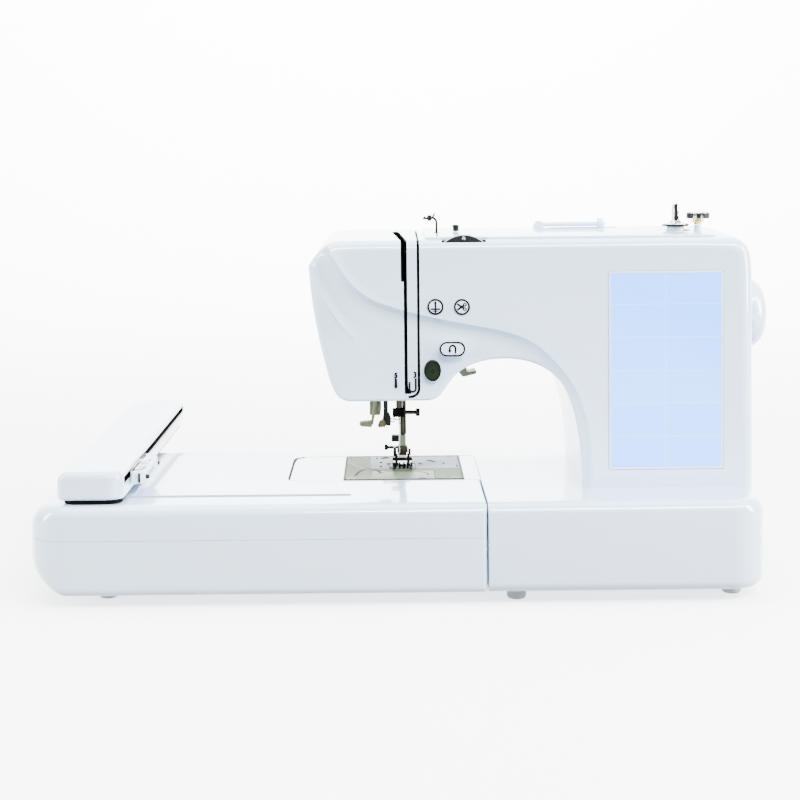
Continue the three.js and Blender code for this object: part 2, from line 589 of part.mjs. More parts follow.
function makeWinder() {
  const collar = cut(rod('z', WINDER.x, WINDER.y, 7.6, 280, 298.4, 20),
    rod('z', WINDER.x, WINDER.y, 3.4, 279, 300));
  add('winder_arm', collar, WHITE);
  add('winder_spindle', turned('z', WINDER.x, WINDER.y, [[0, 279], [3, 279], [3, 298.8],
    [11.5, 299], [11.5, 301], [4.6, 303], [3.1, 304], [3.1, 316], [1.6, 318.5], [0, 318.5]],
  24), CHROME);
  add('winder_stop', turned('z', STOP_X, WINDER.y, [[0, 299.8], [3.2, 299.8], [3.2, 302],
    [5, 302.4], [5, 304.6], [9.4, 305], [9.8, 306], [9.8, 309.6], [9, 310.5], [0, 310.5]], 24),
  BLACK);
}

function makeThreadGuide() {
  const y = WINDER.y;
  const top = 307.4;
  const stalk = rod('z', 38, y, 1.7, TOP + 2 + GAP, top, 10);
  const arm = rod('x', y, top - 1.6, 1.2, 26, 39, 8);
  const disc = turned('x', y, top - 1.6, [[0, 31], [3.6, 31.6], [3.6, 32.4], [0, 34]], 16);
  const base = rod('z', 38, y, 4, TOP + 2 + GAP, 295.4, 14);
  add('thread_guide', join(stalk, arm, disc, base), CHROME);
}

function makeSpoolPin() {
  const z = 299.5;
  const pin = turned('x', 150, z, [[0, 128], [2, 128], [2, 183], [5.4, 183.4], [5.4, 187],
    [3, 189], [0, 190]], 14);
  const hub = rod('y', 130, z, 3.4, 146.3, 153.7, 14);
  add('spool_pin', join(pin, hub), WHITE);
}

function makeLamp() {
  const lens = box(LAMP.x, LAMP.y, [HEAD_BOTTOM - 1.6, HEAD_BOTTOM + 3.4]);
  const holder = box([LAMP.x[0] - 2, LAMP.x[1] + 2], [LAMP.y[0] - 2, LAMP.y[1] + 2],
    [HEAD_BOTTOM + WALL + GAP, HEAD_BOTTOM + 6]);
  add('lamp', join(lens, holder), CLEAR);
}

function makePowerPanel() {
  add('power_switch', rod('y', SWITCH.x, SWITCH.z, SWITCH.r, ...SWITCH.y, 24), BLACK);
  const y = [INLET.y[0] + 4, INLET.y[1] - 4];
  const z = [INLET.z[0] + 4, INLET.z[1] - 4];
  const pocket = box([INLET.x[0] + 3, INLET.x[1] + 1], y, z);
  const pins = [138.5, 145.5].map((py) => rod('x', py, 46, 1.2, 286, 297, 8));
  add('power_inlet', join(cut(box(INLET.x, INLET.y, INLET.z), pocket), ...pins), BLACK);
}

function makeFeet() {
  const profile = (top) => [[0, 0], [7, 0], [8, 1.4], [8, top - 1], [7, top], [0, top]];
  const places = [[98, 24], [276, 34], [98, 182], [276, 172]];
  places.forEach(([x, y], i) => add(`machine_foot_${i + 1}`,
    turned('z', x, y, profile(FOOT_HEIGHT), 20), RUBBER));
  [[-238, 38], [-238, 196]].forEach(([x, y], i) => add(`unit_foot_${i + 1}`,
    turned('z', x, y, profile(UNIT.bottom - GAP), 20), RUBBER));
}

// ---------------------------------------------------------------- embroidery unit
// A block with its two left corners strongly rounded, that wraps the free arm as a U.
function unitBlock(depth) {
  const left = UNIT_LEFT + depth;
  const right = UNIT.right - depth;
  const [low, high] = [UNIT.bottom + depth, DECK - depth];
  const arm = 0.7 - depth;
  const bay = ARM_PLAN.y.map((y, i) => (i ? y + arm : y - arm));
  const plan = rounded([[left, depth, 26 - depth], [right, depth, 4], [right, bay[0]],
    [ARM_PLAN.x[0] - 1, bay[0], 12], [ARM_PLAN.x[0] - 1, bay[1], 12],
    [right, bay[1]], [right, UNIT.rear - depth, 4], [left, UNIT.rear - depth, 26 - depth]]);
  const front = rounded([[left, low, 30 - depth], [right, low, 4], [right, high, 3],
    [left, high, 19 - depth]], 5);
  const side = rounded([[depth, low, 6], [UNIT.rear - depth, low, 6],
    [UNIT.rear - depth, high, 8 - depth], [depth, high, 10 - depth]]);
  return prism(plan, 'z', low, high)
    .intersect(prism(front, 'y', -1, UNIT.rear + 1))
    .intersect(prism(side, 'x', UNIT_LEFT - 1, UNIT.right + 1));
}

function unitCavity() {
  const wall = 2.4;
  const bayWall = wall + 0.7;
  const left = UNIT_LEFT + wall;
  const right = UNIT.right - wall;
  const [low, high] = [UNIT.bottom + wall, DECK - wall];
  const plan = rounded([[left, wall, 24], [right, wall, 2],
    [right, ARM_PLAN.y[0] - bayWall], [ARM_PLAN.x[0] - 1 - wall, ARM_PLAN.y[0] - bayWall, 9],
    [ARM_PLAN.x[0] - 1 - wall, ARM_PLAN.y[1] + bayWall, 9], [right, ARM_PLAN.y[1] + bayWall],
    [right, UNIT.rear - wall, 2], [left, UNIT.rear - wall, 24]]);
  const front = rounded([[left, low, 28], [right, low, 2], [right, high, 1],
    [left, high, 17]], 5);
  return prism(plan, 'z', low, high).intersect(prism(front, 'y', 0, UNIT.rear));
}

function makeUnit() {
  const slot = prism(rectangle([-266, -36], [34.6, 43.4], 4), 'z', DECK - 6, DECK + 1);
  const shell = cut(unitBlock(0), unitCavity(), slot);
  const wide = [UNIT_LEFT - 1, UNIT.right + 1];
  const deep = [-1, UNIT.rear + 1];
  const boss = (x) => cut(box(x, [31, 47], [UNIT.bottom + 1, 44]),
    rod('x', GUIDE.y, GUIDE.z, GUIDE.r + GAP, x[0] - 1, x[1] + 1));
  const lower = join(shell.intersect(box(wide, deep, [0, UNIT.split - GAP])),
    boss([-280, -272]), boss([-30, -22]));
  add('unit_lower_cover', lower, WHITE);
  add('unit_upper_cover', shell.intersect(box(wide, deep, [UNIT.split, DECK + 5])), WHITE);
  add('x_guide_rod', rod('x', GUIDE.y, GUIDE.z, GUIDE.r, -282, -20), STEEL);
}

function carriageBlock(depth) {
  const [x0, x1] = [CARRIAGE.x[0] + depth, CARRIAGE.x[1] - depth];
  const [y0, y1] = [CARRIAGE.y[0] + depth, CARRIAGE.y[1] - depth];
  const low = CARRIAGE.z[0] - (depth ? 5 : 0);
  const high = CARRIAGE.z[1] - depth;
  const plan = rounded([[x0, y0, 8 - depth], [x1, y0, 12 - depth], [x1, y1, 6 - depth],
    [x0, y1, 16 - depth]]);
  const front = rounded([[x0, low, depth ? 0 : 5], [x1, low, depth ? 0 : 3],
    [x1, high, 7 - depth], [x0, high, 10 - depth]]);
  const side = rounded([[y0, low], [y1, low], [y1, high, 9 - depth], [y0, high, 7 - depth]]);
  return prism(plan, 'z', low, high)
    .intersect(prism(front, 'y', 0, DEPTH + 1))
    .intersect(prism(side, 'x', CARRIAGE.x[0] - 1, CARRIAGE.x[1] + 1));
}

function makeCarriage() {
  const slot = box([CARRIAGE.x[1] - 5, CARRIAGE.x[1] + 1], [18, 372], [98.2, 103.8]);
  add('carriage_cover', cut(carriageBlock(0), carriageBlock(2.4), slot), WHITE);
  const plate = box([-270, -224], [22, 364], [86, 88]);
  const neck = box([-256, -236], [36, 42], [40, 87]);
  const slider = cut(box([-262, -230], [30, 48], [27, 41]),
    rod('x', GUIDE.y, GUIDE.z, GUIDE.r + GAP, -263, -229));
  const rail = box([-252, -246], [22, 364], [87, 95]);
  add('carriage_base', join(plate, neck, slider, rail), CAST);
}

function makeHoopHolder() {
  const body = cut(box([-262, -226], [60, 100], [89, 105]), box([-252.6, -245.4], [59, 101],
    [88, 95.4]));
  const neck = box([-227, -218], [62, 98], [99, 103]);
  const rail = prism(rounded([[-219.4, HOOP_Y[0], 2], [-208, HOOP_Y[0] + 6, 3],
    [-206, HOOP_Y[1] - 14, 4], [-214, HOOP_Y[1], 3], [-219.4, HOOP_Y[1]]]), 'z', 92, 103);
  const pocket = box([-215, -200], [62, 90], [94.5, 99]);
  const pins = [52, 108].map((y) => rod('x', y, 97, 2, -214, -204.5, 10));
  add('hoop_holder', join(cut(join(body, neck, rail), pocket), ...pins), STEEL);
  const hub = rod('z', -213, 76, 3.6, 103.3, 106.4, 14);
  const handle = box([-215, -211], [76, 100], [103.3, 105.4]);
  add('hoop_lever', join(hub, handle), WHITE);
}

// ---------------------------------------------------------------- the whole machine
[makeHousing, makeTopCover, makeBottomCover, makeFreeArm, makeFrame, makeMainShaft,
  makeHandwheel, makePulleys, makeBelts, makeMotor, makeLowerShaft, makeHook, makeNeedlePlate,
  makeFeedDog, makeNeedleBar, makeTakeUpLever, makePresser, makePresserLever, makeThreader,
  makeButtonholeLever, makeButtons, makeScreen, makeTensionDial, makeWinder, makeThreadGuide,
  makeSpoolPin, makeLamp, makePowerPanel, makeFeet, makeUnit, makeCarriage, makeHoopHolder,
].forEach((make) => make());

export default machine;
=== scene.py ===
"""Looks of the embroidery machine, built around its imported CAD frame.

Every mesh is drawn in millimetres in the machine's own axes (x = 0 near the needle, y = 0 at
the front face, z = 0 on the table) and moved into the frame by TO_FRAME when it is finished.
"""
import json
import math

import bmesh
import bpy
import numpy as np
from mathutils import Matrix, Vector, geometry


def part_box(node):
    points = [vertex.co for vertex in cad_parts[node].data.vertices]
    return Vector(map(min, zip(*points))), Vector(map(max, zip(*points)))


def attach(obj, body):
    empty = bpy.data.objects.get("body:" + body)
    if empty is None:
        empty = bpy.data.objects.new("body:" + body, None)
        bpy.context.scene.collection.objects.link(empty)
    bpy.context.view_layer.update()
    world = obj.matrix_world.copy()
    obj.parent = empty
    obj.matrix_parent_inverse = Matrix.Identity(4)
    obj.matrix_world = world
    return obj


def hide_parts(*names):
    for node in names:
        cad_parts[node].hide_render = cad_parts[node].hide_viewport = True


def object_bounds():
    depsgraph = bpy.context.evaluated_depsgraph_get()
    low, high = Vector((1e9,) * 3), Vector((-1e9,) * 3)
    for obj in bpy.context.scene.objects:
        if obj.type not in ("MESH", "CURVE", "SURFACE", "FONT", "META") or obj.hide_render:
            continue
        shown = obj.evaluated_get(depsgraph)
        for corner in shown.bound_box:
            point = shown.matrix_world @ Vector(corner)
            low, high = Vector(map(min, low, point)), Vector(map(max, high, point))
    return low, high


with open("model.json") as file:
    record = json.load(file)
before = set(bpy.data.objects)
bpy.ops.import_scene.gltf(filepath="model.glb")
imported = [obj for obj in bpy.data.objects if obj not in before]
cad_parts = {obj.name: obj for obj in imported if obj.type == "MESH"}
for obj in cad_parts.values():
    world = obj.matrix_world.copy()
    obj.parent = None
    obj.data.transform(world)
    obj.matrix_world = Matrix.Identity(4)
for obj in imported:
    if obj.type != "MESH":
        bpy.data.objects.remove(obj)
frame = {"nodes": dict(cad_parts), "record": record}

cad_low, cad_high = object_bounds()
MM = 0.001
NEEDLE_SIDE = 0.298        # from the unit's left end to x = 0
ORIGIN = Vector((cad_low.x + NEEDLE_SIDE, cad_low.y, cad_low.z))
TO_FRAME = Matrix.Translation(ORIGIN) @ Matrix.Scale(MM, 4)
BODY_OF = {node: body for body, nodes in frame["record"]["behaviour"]["bodies"].items()
           for node in nodes}


class Span:
    """The box of a CAD node in millimetres: x, y and z are (low, high) pairs."""

    def __init__(self, node):
        low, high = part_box(node)
        low, high = (low - ORIGIN) / MM, (high - ORIGIN) / MM
        self.x, self.y, self.z = zip(low, high)
        self.mid = (low + high) / 2
        self.size = high - low


# ------------------------------------------------------------------ materials
def set_inputs(node, **values):
    """Sets a node's inputs by name, with _ for the spaces."""
    for name, value in values.items():
        node.inputs[name.replace("_", " ")].default_value = value


def new_material(name, color, roughness, metallic=0.0, coat=0.0):
    material = bpy.data.materials.new(name)
    material.use_nodes = True
    shader = material.node_tree.nodes["Principled BSDF"]
    set_inputs(shader, Base_Color=(*color, 1), Roughness=roughness, Metallic=metallic,
               Coat_Weight=coat, Coat_Roughness=0.06)
    return material, material.node_tree, shader


def link(source, output, target, socket):
    source.id_data.links.new(source.outputs[output], target.inputs[socket])


def add_node(tree, kind, **values):
    made = tree.nodes.new(kind)
    set_inputs(made, **values)
    return made


def noise_node(tree, scale, detail=2.0, stretch=None):
    coords = tree.nodes.new("ShaderNodeTexCoord")
    made = add_node(tree, "ShaderNodeTexNoise", Scale=scale, Detail=detail)
    source = coords.outputs["Object"]
    if stretch:
        mapping = add_node(tree, "ShaderNodeMapping", Scale=stretch)
        tree.links.new(source, mapping.inputs["Vector"])
        source = mapping.outputs["Vector"]
    tree.links.new(source, made.inputs["Vector"])
    return made


def ramp(tree, source, stops):
    made = tree.nodes.new("ShaderNodeValToRGB")
    while len(made.color_ramp.elements) < len(stops):
        made.color_ramp.elements.new(0.5)
    for element, (place, color) in zip(made.color_ramp.elements, stops):
        element.position = place
        element.color = (*color, 1)
    tree.links.new(source, made.inputs["Fac"])
    return made


def map_range(tree, source, low, high, start=0.3, end=0.7):
    made = add_node(tree, "ShaderNodeMapRange", From_Min=start, From_Max=end, To_Min=low,
                    To_Max=high)
    tree.links.new(source, made.inputs["Value"])
    return made


def bump(tree, shader, source, strength, distance):
    made = add_node(tree, "ShaderNodeBump", Strength=strength, Distance=distance)
    tree.links.new(source, made.inputs["Height"])
    link(made, "Normal", shader, "Normal")
    return made


def plastic(name, color, roughness, grain=900.0, depth=0.00002, coat=0.0, spread=0.02,
            shine=0.5):
    """Moulded plastic: faint colour drift, fine surface grain, uneven gloss."""
    material, tree, shader = new_material(name, color, roughness, coat=coat)
    set_inputs(shader, Specular_IOR_Level=shine)
    drift = noise_node(tree, 9.0, 3.0)
    dark = tuple(c * (1 - spread) for c in color)
    light = tuple(min(1, c * (1 + spread)) for c in color)
    tone = ramp(tree, drift.outputs["Fac"], [(0.3, dark), (0.7, light)])
    link(tone, "Color", shader, "Base Color")
    fine = noise_node(tree, grain, 2.0)
    gloss = map_range(tree, fine.outputs["Fac"], roughness * 0.85, roughness * 1.2)
    link(gloss, "Result", shader, "Roughness")
    bump(tree, shader, fine.outputs["Fac"], 0.12, depth)
    return material


def metal(name, color, roughness, stretch=(1, 1, 1), scale=500.0, strength=0.12):
    """Metal with drawn or turned marks: noise stretched along the direction of work."""
    material, tree, shader = new_material(name, color, roughness, metallic=1.0)
    lines = noise_node(tree, scale, 3.0, stretch)
    gloss = map_range(tree, lines.outputs["Fac"], roughness * 0.7, roughness * 1.5)
    link(gloss, "Result", shader, "Roughness")
    smudge = noise_node(tree, 60.0, 2.0)
    dark = tuple(c * 0.88 for c in color)
    tone = ramp(tree, smudge.outputs["Fac"], [(0.35, dark), (0.65, color)])
    link(tone, "Color", shader, "Base Color")
    bump(tree, shader, lines.outputs["Fac"], strength, 0.00003)
    return material


def screen_material():
    """A lit display: pale blue tiles in two columns behind the front."""
    material, tree, shader = new_material("lit_display", (0.03, 0.06, 0.16), 0.12, coat=0.3)
    coords = tree.nodes.new("ShaderNodeTexCoord")
    split = tree.nodes.new("ShaderNodeSeparateXYZ")
    link(coords, "Object", split, "Vector")
    join = tree.nodes.new("ShaderNodeCombineXYZ")
    link(split, "X", join, "X")
    link(split, "Z", join, "Y")
    window = Span("touch_screen")
    shift = add_node(tree, "ShaderNodeMapping", Location=(
        -(window.x[0] * MM + ORIGIN.x), -(window.z[0] * MM + ORIGIN.z), 0))
    link(join, "Vector", shift, "Vector")
    columns, rows = 2, 6
    tiles = add_node(tree, "ShaderNodeTexBrick", Scale=1.0, Mortar_Size=0.0007, Bias=0.2,
                     Mortar_Smooth=0.6, Brick_Width=window.size.x * MM / columns,
                     Row_Height=window.size.z * MM / rows, Color1=(0.09, 0.36, 1.2, 1),
                     Color2=(0.11, 0.39, 1.2, 1), Mortar=(0.20, 0.47, 1.2, 1))
    tiles.offset = 0
    link(shift, "Vector", tiles, "Vector")
    link(tiles, "Color", shader, "Emission Color")
    set_inputs(shader, Emission_Strength=5.6)
    return material


WHITE = plastic("white_housing", (0.555, 0.705, 0.865), 0.2, grain=1400.0, depth=0.00001,
                coat=0.8, spread=0.006)
KEY_WHITE = plastic("key_white", (0.65, 0.76, 0.88), 0.3, spread=0.01)
CREAM = plastic("cream_plastic", (0.15, 0.15, 0.078), 0.45, spread=0.06, shine=0.12)
BLACK = plastic("black_plastic", (0.004, 0.004, 0.004), 0.4, grain=1500.0, spread=0.1, shine=0.12)
# Painted shade: near black for insides, slot walls and gaps that lie in shade.
PAINTED_SHADE = plastic("painted_shade_black", (0.002, 0.002, 0.002), 0.7, spread=0.1, shine=0.03)
PRINT = plastic("dark_print", (0.003, 0.003, 0.004), 0.6, spread=0.05, shine=0.03)
GREEN = plastic("start_green", (0.004, 0.009, 0.003), 0.45, spread=0.1, shine=0.06)
FOOT = plastic("foot_rubber", (0.46, 0.48, 0.49), 0.7, grain=2500.0, depth=0.00006, spread=0.05)
RUBBER = plastic("belt_rubber", (0.03, 0.03, 0.032), 0.75, grain=2500.0, depth=0.00008)
CHROME = metal("chrome", (0.62, 0.62, 0.60), 0.12, (1, 1, 0.1), 700.0, 0.03)
# Nickel and olive steel are painted dark: the dark colour stands for reflections of dark
# surroundings.
NICKEL_PAINTED_DARK = metal("nickel_painted_dark_reflection", (0.020, 0.019, 0.012), 0.2, (1, 1, 0.1), 700.0, 0.05)
OLIVE_PAINTED_DARK = metal("olive_steel_painted_dark_reflection", (0.05, 0.047, 0.025), 0.3, (1, 1, 0.1), 700.0, 0.05)
STEEL = metal("turned_steel", (0.56, 0.56, 0.54), 0.28, (1, 1, 0.08), 900.0)
# Steel painted near black: painted shade on the take-up arm in its slot, painted dark reflections
# on the clamp block.
STEEL_PAINTED_BLACK = plastic("steel_painted_black", (0.006, 0.006, 0.005), 0.6, spread=0.1, shine=0.0)
PLATE = plastic("satin_plate", (0.40, 0.45, 0.48), 0.5, grain=1600.0, spread=0.04, shine=0.04)
SAND = plastic("sand_plate", (0.135, 0.17, 0.10), 0.5, grain=1600.0, spread=0.05, shine=0.03)
CAST = metal("cast_alloy", (0.34, 0.35, 0.36), 0.5, (1, 1, 1), 500.0, 0.5)
BRASS = metal("brass", (0.75, 0.56, 0.22), 0.25, (1, 1, 0.1), 700.0)
DISPLAY = screen_material()
MUD = plastic("olive_edge", (0.02, 0.02, 0.011), 0.5, spread=0.1, shine=0.03)
CLEAR = plastic("clear_plastic", (0.125, 0.155, 0.09), 0.4, spread=0.03, shine=0.05)
IVORY = plastic("ivory_plastic", (0.30, 0.31, 0.21), 0.45, spread=0.05, shine=0.12)
MOSS = plastic("moss_print", (0.001, 0.002, 0.001), 0.5, spread=0.05, shine=0.05)
LENS = plastic("lamp_lens", (0.9, 0.9, 0.85), 0.3, spread=0.01)

CAD_LOOK = {
    "main_frame": CAST, "main_shaft": STEEL, "upper_pulley": CAST, "lower_pulley": CAST,
    "timing_belt": RUBBER, "motor_belt": RUBBER, "drive_motor": STEEL, "motor_pulley": BRASS,
    "lower_shaft": STEEL, "rotary_hook": STEEL, "feed_dog": STEEL, "x_guide_rod": STEEL,
    # carriage_base takes the painted shade: it sits in shade under the carriage.
    "carriage_base": PAINTED_SHADE, "lamp": LENS, "power_inlet": BLACK,
}


# ------------------------------------------------------------------ outlines
def grow(pair, low, high=None):
    """A (low, high) pair widened by the same at both ends, or by high at its high end."""
    return pair[0] - low, pair[1] + (low if high is None else high)


def rounded(corners, steps=10):
    """Corners are (a, b, radius); each one with a radius becomes an arc."""
    points = []
    for i, corner in enumerate(corners):
        here, radius = Vector(corner[:2]), corner[2] if len(corner) > 2 else 0
        if not radius:
            points.append(here)
            continue
        before = Vector(corners[i - 1][:2])
        after = Vector(corners[(i + 1) % len(corners)][:2])
        back, on = (before - here).normalized(), (after - here).normalized()
        half = math.acos(max(-1, min(1, back.dot(on)))) / 2
        middle = here + (back + on).normalized() * radius / math.sin(half)
        start = here + back * radius / math.tan(half) - middle
        end = here + on * radius / math.tan(half) - middle
        turn = start.angle_signed(end)
        for k in range(steps + 1):
            spin = Matrix.Rotation(-turn * k / steps, 2)
            points.append(middle + spin @ start)
    return points


def rectangle(a, b, radius=0.0, steps=8):
    return rounded([(a[0], b[0], radius), (a[1], b[0], radius), (a[1], b[1], radius),
                    (a[0], b[1], radius)], steps)


def ellipse(a, b, ra, rb, sides=64):
    return [Vector((a + ra * math.cos(2 * math.pi * i / sides),
                    b + rb * math.sin(2 * math.pi * i / sides))) for i in range(sides)]


def stadium(a, b, half_a, half_b):
    """An oval key outline: half circles on straight sides."""
    r = min(half_a, half_b) - 0.01
    return rectangle((a - half_a, a + half_a), (b - half_b, b + half_b), r, 16)


def inset(points, distances):
    """Moves the points of an anticlockwise outline inwards, by one distance or one for each."""
    if isinstance(distances, (int, float)):
        distances = [distances] * len(points)
    moved = []
    for i, here in enumerate(points):
        d1 = (here - points[i - 1]).normalized()
        d2 = (points[(i + 1) % len(points)] - here).normalized()
        mitre = Vector((-d1.y, d1.x)) + Vector((-d2.y, d2.x))
        moved.append(here + mitre * (2 * distances[i] / mitre.length_squared))
    return moved


def bezier(points, steps):
    """A cubic curve without its first point."""
    a, b, c, d = (Vector(p) for p in points)
    made = []
    for k in range(1, steps + 1):
        t = k / steps
        made.append(a * (1 - t) ** 3 + b * 3 * t * (1 - t) ** 2 + c * 3 * t * t * (1 - t)
                    + d * t ** 3)
    return made


def smooth_line(points, steps=6):
    """A Catmull-Rom line through the points."""
    points = [Vector(p) for p in points]
    padded = [points[0] * 2 - points[1], *points, points[-1] * 2 - points[-2]]
    made = [points[0]]
    for i in range(1, len(padded) - 2):
        a, b, c, d = padded[i - 1:i + 3]
        for k in range(1, steps + 1):
            t = k / steps
            made.append(0.5 * (2 * b + (c - a) * t + (2 * a - 5 * b + 4 * c - d) * t * t
                               + (3 * b - a - 3 * c + d) * t ** 3))
    return made


# ------------------------------------------------------------------ meshes
# From (a, b) across an axis and c along it to (x, y, z).
AXES = {"x": lambda a, b, c: (c, a, b), "y": lambda a, b, c: (a, c, b), "z": lambda a, b,
        c: (a, b, c)}


def prism(points, axis, low, high, round_low=0.0, round_high=0.0, segments=4):
    """An outline drawn across an axis and pushed along it, with rounded ends if asked."""
    points = [Vector(p) for p in points]
    rings = [(low + round_low * (1 - math.cos(math.pi / 2 * k / segments)),
              round_low * (1 - math.sin(math.pi / 2 * k / segments)))
             for k in range(segments + 1)] if round_low else [(low, 0)]
    rings += [(high - round_high * (1 - math.sin(math.pi / 2 * k / segments)),
               round_high * (1 - math.cos(math.pi / 2 * k / segments)))
              for k in range(segments + 1)] if round_high else [(high, 0)]
    bm = bmesh.new()
    loops = []
    for along, inwards in rings:
        line = inset(points, inwards) if inwards else points
        loops.append([bm.verts.new(AXES[axis](p.x, p.y, along)) for p in line])
    skin(bm, loops)
    return bm


def skin_open(bm, loops):
    """Joins closed loops of equal length into a tube with open ends."""
    for first, second in zip(loops, loops[1:]):
        for i in range(len(first)):
            j = (i + 1) % len(first)
            bm.faces.new((first[i], first[j], second[j], second[i]))


def skin(bm, loops, caps=True):
    """Joins closed loops into a tube, closes its ends and welds what meets."""
    skin_open(bm, loops)
    if caps:
        bm.faces.new(loops[0])
        bm.faces.new(loops[-1])
    bmesh.ops.remove_doubles(bm, verts=bm.verts, dist=1e-5)
    bmesh.ops.recalc_face_normals(bm, faces=bm.faces)


def slab(axis, ends, corners, steps=10, soft=0.0, segments=4):
    """A rounded outline pushed along an axis, both ends softened alike."""
    return prism(rounded(corners, steps), axis, *ends, round_low=soft, round_high=soft,
                 segments=segments)


def box(x, y, z):
    return prism(rectangle(x, y), "z", *z)


def soft_box(x, y, z, radius, lift=None):
    lift = lift or radius * 0.6
    return prism(rectangle(x, y, radius, 6), "z", *z, round_low=lift, round_high=lift)


def turned(axis, a, b, profile, sides=64):
    """A turned piece from (radius, place along the axis); ends on the axis close themselves."""
    bm = bmesh.new()
    rings = []
    for radius, along in profile:
        if radius < 1e-6:
            rings.append([bm.verts.new(AXES[axis](a, b, along))])
            continue
        rings.append([bm.verts.new(AXES[axis](p.x, p.y, along))
                      for p in ellipse(a, b, radius, radius, sides)])
    for first, second in zip(rings, rings[1:]):
        for i in range(sides):
            j = (i + 1) % sides
            corners = [first[i % len(first)], first[j % len(first)],
                       second[j % len(second)], second[i % len(second)]]
            corners = list(dict.fromkeys(corners))
            if len(corners) > 2:
                bm.faces.new(corners)
    if profile[0] == profile[-1]:
        bmesh.ops.remove_doubles(bm, verts=bm.verts, dist=1e-5)
    bmesh.ops.recalc_face_normals(bm, faces=bm.faces)
    return bm


def cylinder(axis, a, b, radius, ends, sides):
    return turned(axis, a, b, [(0, ends[0]), (radius, ends[0]), (radius, ends[1]), (0, ends[1])],
                  sides)


def fluted(a, b, radius, depth, count):
    """A round outline with shallow flutes."""
    points = []
    for i in range(count * 4):
        angle = 2 * math.pi * i / (count * 4)
        r = radius - depth * (1 - math.cos(angle * count))
        points.append(Vector((a + r * math.cos(angle), b + r * math.sin(angle))))
    return points


def fillet(points, radius, steps=4):
    """Rounds every corner of an open profile but its two ends."""
    made = [points[0]]
    for before, here, after in zip(points, points[1:], points[2:]):
        here_v = Vector(here)
        back, on = Vector(before) - here_v, Vector(after) - here_v
        reach = min(radius, back.length * 0.45, on.length * 0.45)
        start, end = here_v + back.normalized() * reach, here_v + on.normalized() * reach
        for k in range(steps + 1):
            t = k / steps
            made.append(tuple(start * (1 - t) ** 2 + here_v * 2 * t * (1 - t) + end * t * t))
    made.append(points[-1])
    return made


def tube(points, radius, sides=12):
    """A round wire along a line of points."""
    points = [Vector(p) for p in points]
    bm = bmesh.new()
    loops = []
    side = None
    for i, here in enumerate(points):
        along = (points[min(i + 1, len(points) - 1)] - points[max(i - 1, 0)]).normalized()
        if side is None:
            side = along.orthogonal().normalized()
        side = (side - along * side.dot(along)).normalized()
        up = along.cross(side)
        loops.append([bm.verts.new(here + (side * math.cos(a) + up * math.sin(a)) * radius)
                      for a in (2 * math.pi * k / sides for k in range(sides))])
    skin(bm, loops)
    return bm


def merged(*meshes):
    """Several closed meshes in one, left as they are where they touch."""
    first = meshes[0]
    for other in meshes[1:]:
        data = bpy.data.meshes.new("join")
        other.to_mesh(data)
        other.free()
        first.from_mesh(data)
        bpy.data.meshes.remove(data)
    return first


def to_object(bm, name="work"):
    data = bpy.data.meshes.new(name)
    bm.to_mesh(data)
    bm.free()
    made = bpy.data.objects.new(name, data)
    bpy.context.scene.collection.objects.link(made)
    return made


def boolean(target, tool, operation="DIFFERENCE"):
    """Cuts or joins two closed meshes and returns the result as a mesh under work."""
    first, second = to_object(target), to_object(tool)
    modifier = first.modifiers.new("cut", "BOOLEAN")
    modifier.object = second
    modifier.operation = operation
    modifier.solver = "EXACT"
    graph = bpy.context.evaluated_depsgraph_get()
    result = bpy.data.meshes.new_from_object(first.evaluated_get(graph))
    bm = bmesh.new()
    bm.from_mesh(result)
    old = [result, first.data, second.data]
    bpy.data.objects.remove(first)
    bpy.data.objects.remove(second)
    for data in old:
        bpy.data.meshes.remove(data)
    return bm


def cut(target, *tools):
    for tool in tools:
        target = boolean(target, tool)
    return target


def join(target, *tools):
    for tool in tools:
        target = boolean(target, tool, "UNION")
    return target


def keep(target, *tools):
    for tool in tools:
        target = boolean(target, tool, "INTERSECT")
    return target


def add_piece(name, bm, node, material, stands_for=True, edge=0.0, sharp=32, slot=None,
              dark=None):
    """Finishes a mesh: into the frame, shaded, softened along its edges, riding its body.
    dark tells which places on it are painted black as shade, with a second material."""
    bmesh.ops.dissolve_degenerate(bm, dist=1e-4, edges=bm.edges)
    for face in bm.faces:
        face.material_index = 1 if dark and dark(face.calc_center_median(), face.normal) else 0
    bmesh.ops.transform(bm, matrix=TO_FRAME, verts=bm.verts)
    made = to_object(bm, name)
    made.data.materials.append(material)
    if dark:
        made.data.materials.append(PAINTED_SHADE)
    made.data.shade_smooth()
    made.data.set_sharp_from_angle(angle=math.radians(sharp))
    if edge:
        modifier = made.modifiers.new("edge", "BEVEL")
        modifier.width = edge * MM
        modifier.segments = 2
        modifier.limit_method = "ANGLE"
        modifier.angle_limit = math.radians(sharp + 8)
    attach(made, BODY_OF[node])
    if stands_for:
        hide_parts(node)
    return made


def add_trim(name, bm, node, material, slot="black_plastic", **finish):
    """A piece that adds to a node's look and rides along, but doesn't stand for the node."""
    return add_piece(name, bm, node, material, stands_for=False, slot=slot, **finish)


# ------------------------------------------------------------------ housing
FRONT = 55.0               # front face of head, arm and column
REAR = Span("rear_cover").y[1]
ARM_REAR = 190.0
TOP = Span("face_cover").z[1]
HEAD_BOTTOM = Span("face_cover").z[0]
DECK = Span("free_arm_cover").z[1]
BASE = Span("front_cover")
SEAM = Span("front_cover").y[1]
WALL = 2.6
UNIT_WALL = 2.4            # shells of the unit, the carriage and the free arm
PEG = (55, 118)            # the thread peg on top
LOW = 60.0                 # the column runs down to here inside the base
CROWN = 3.6                # rise of the arm's top towards the rear


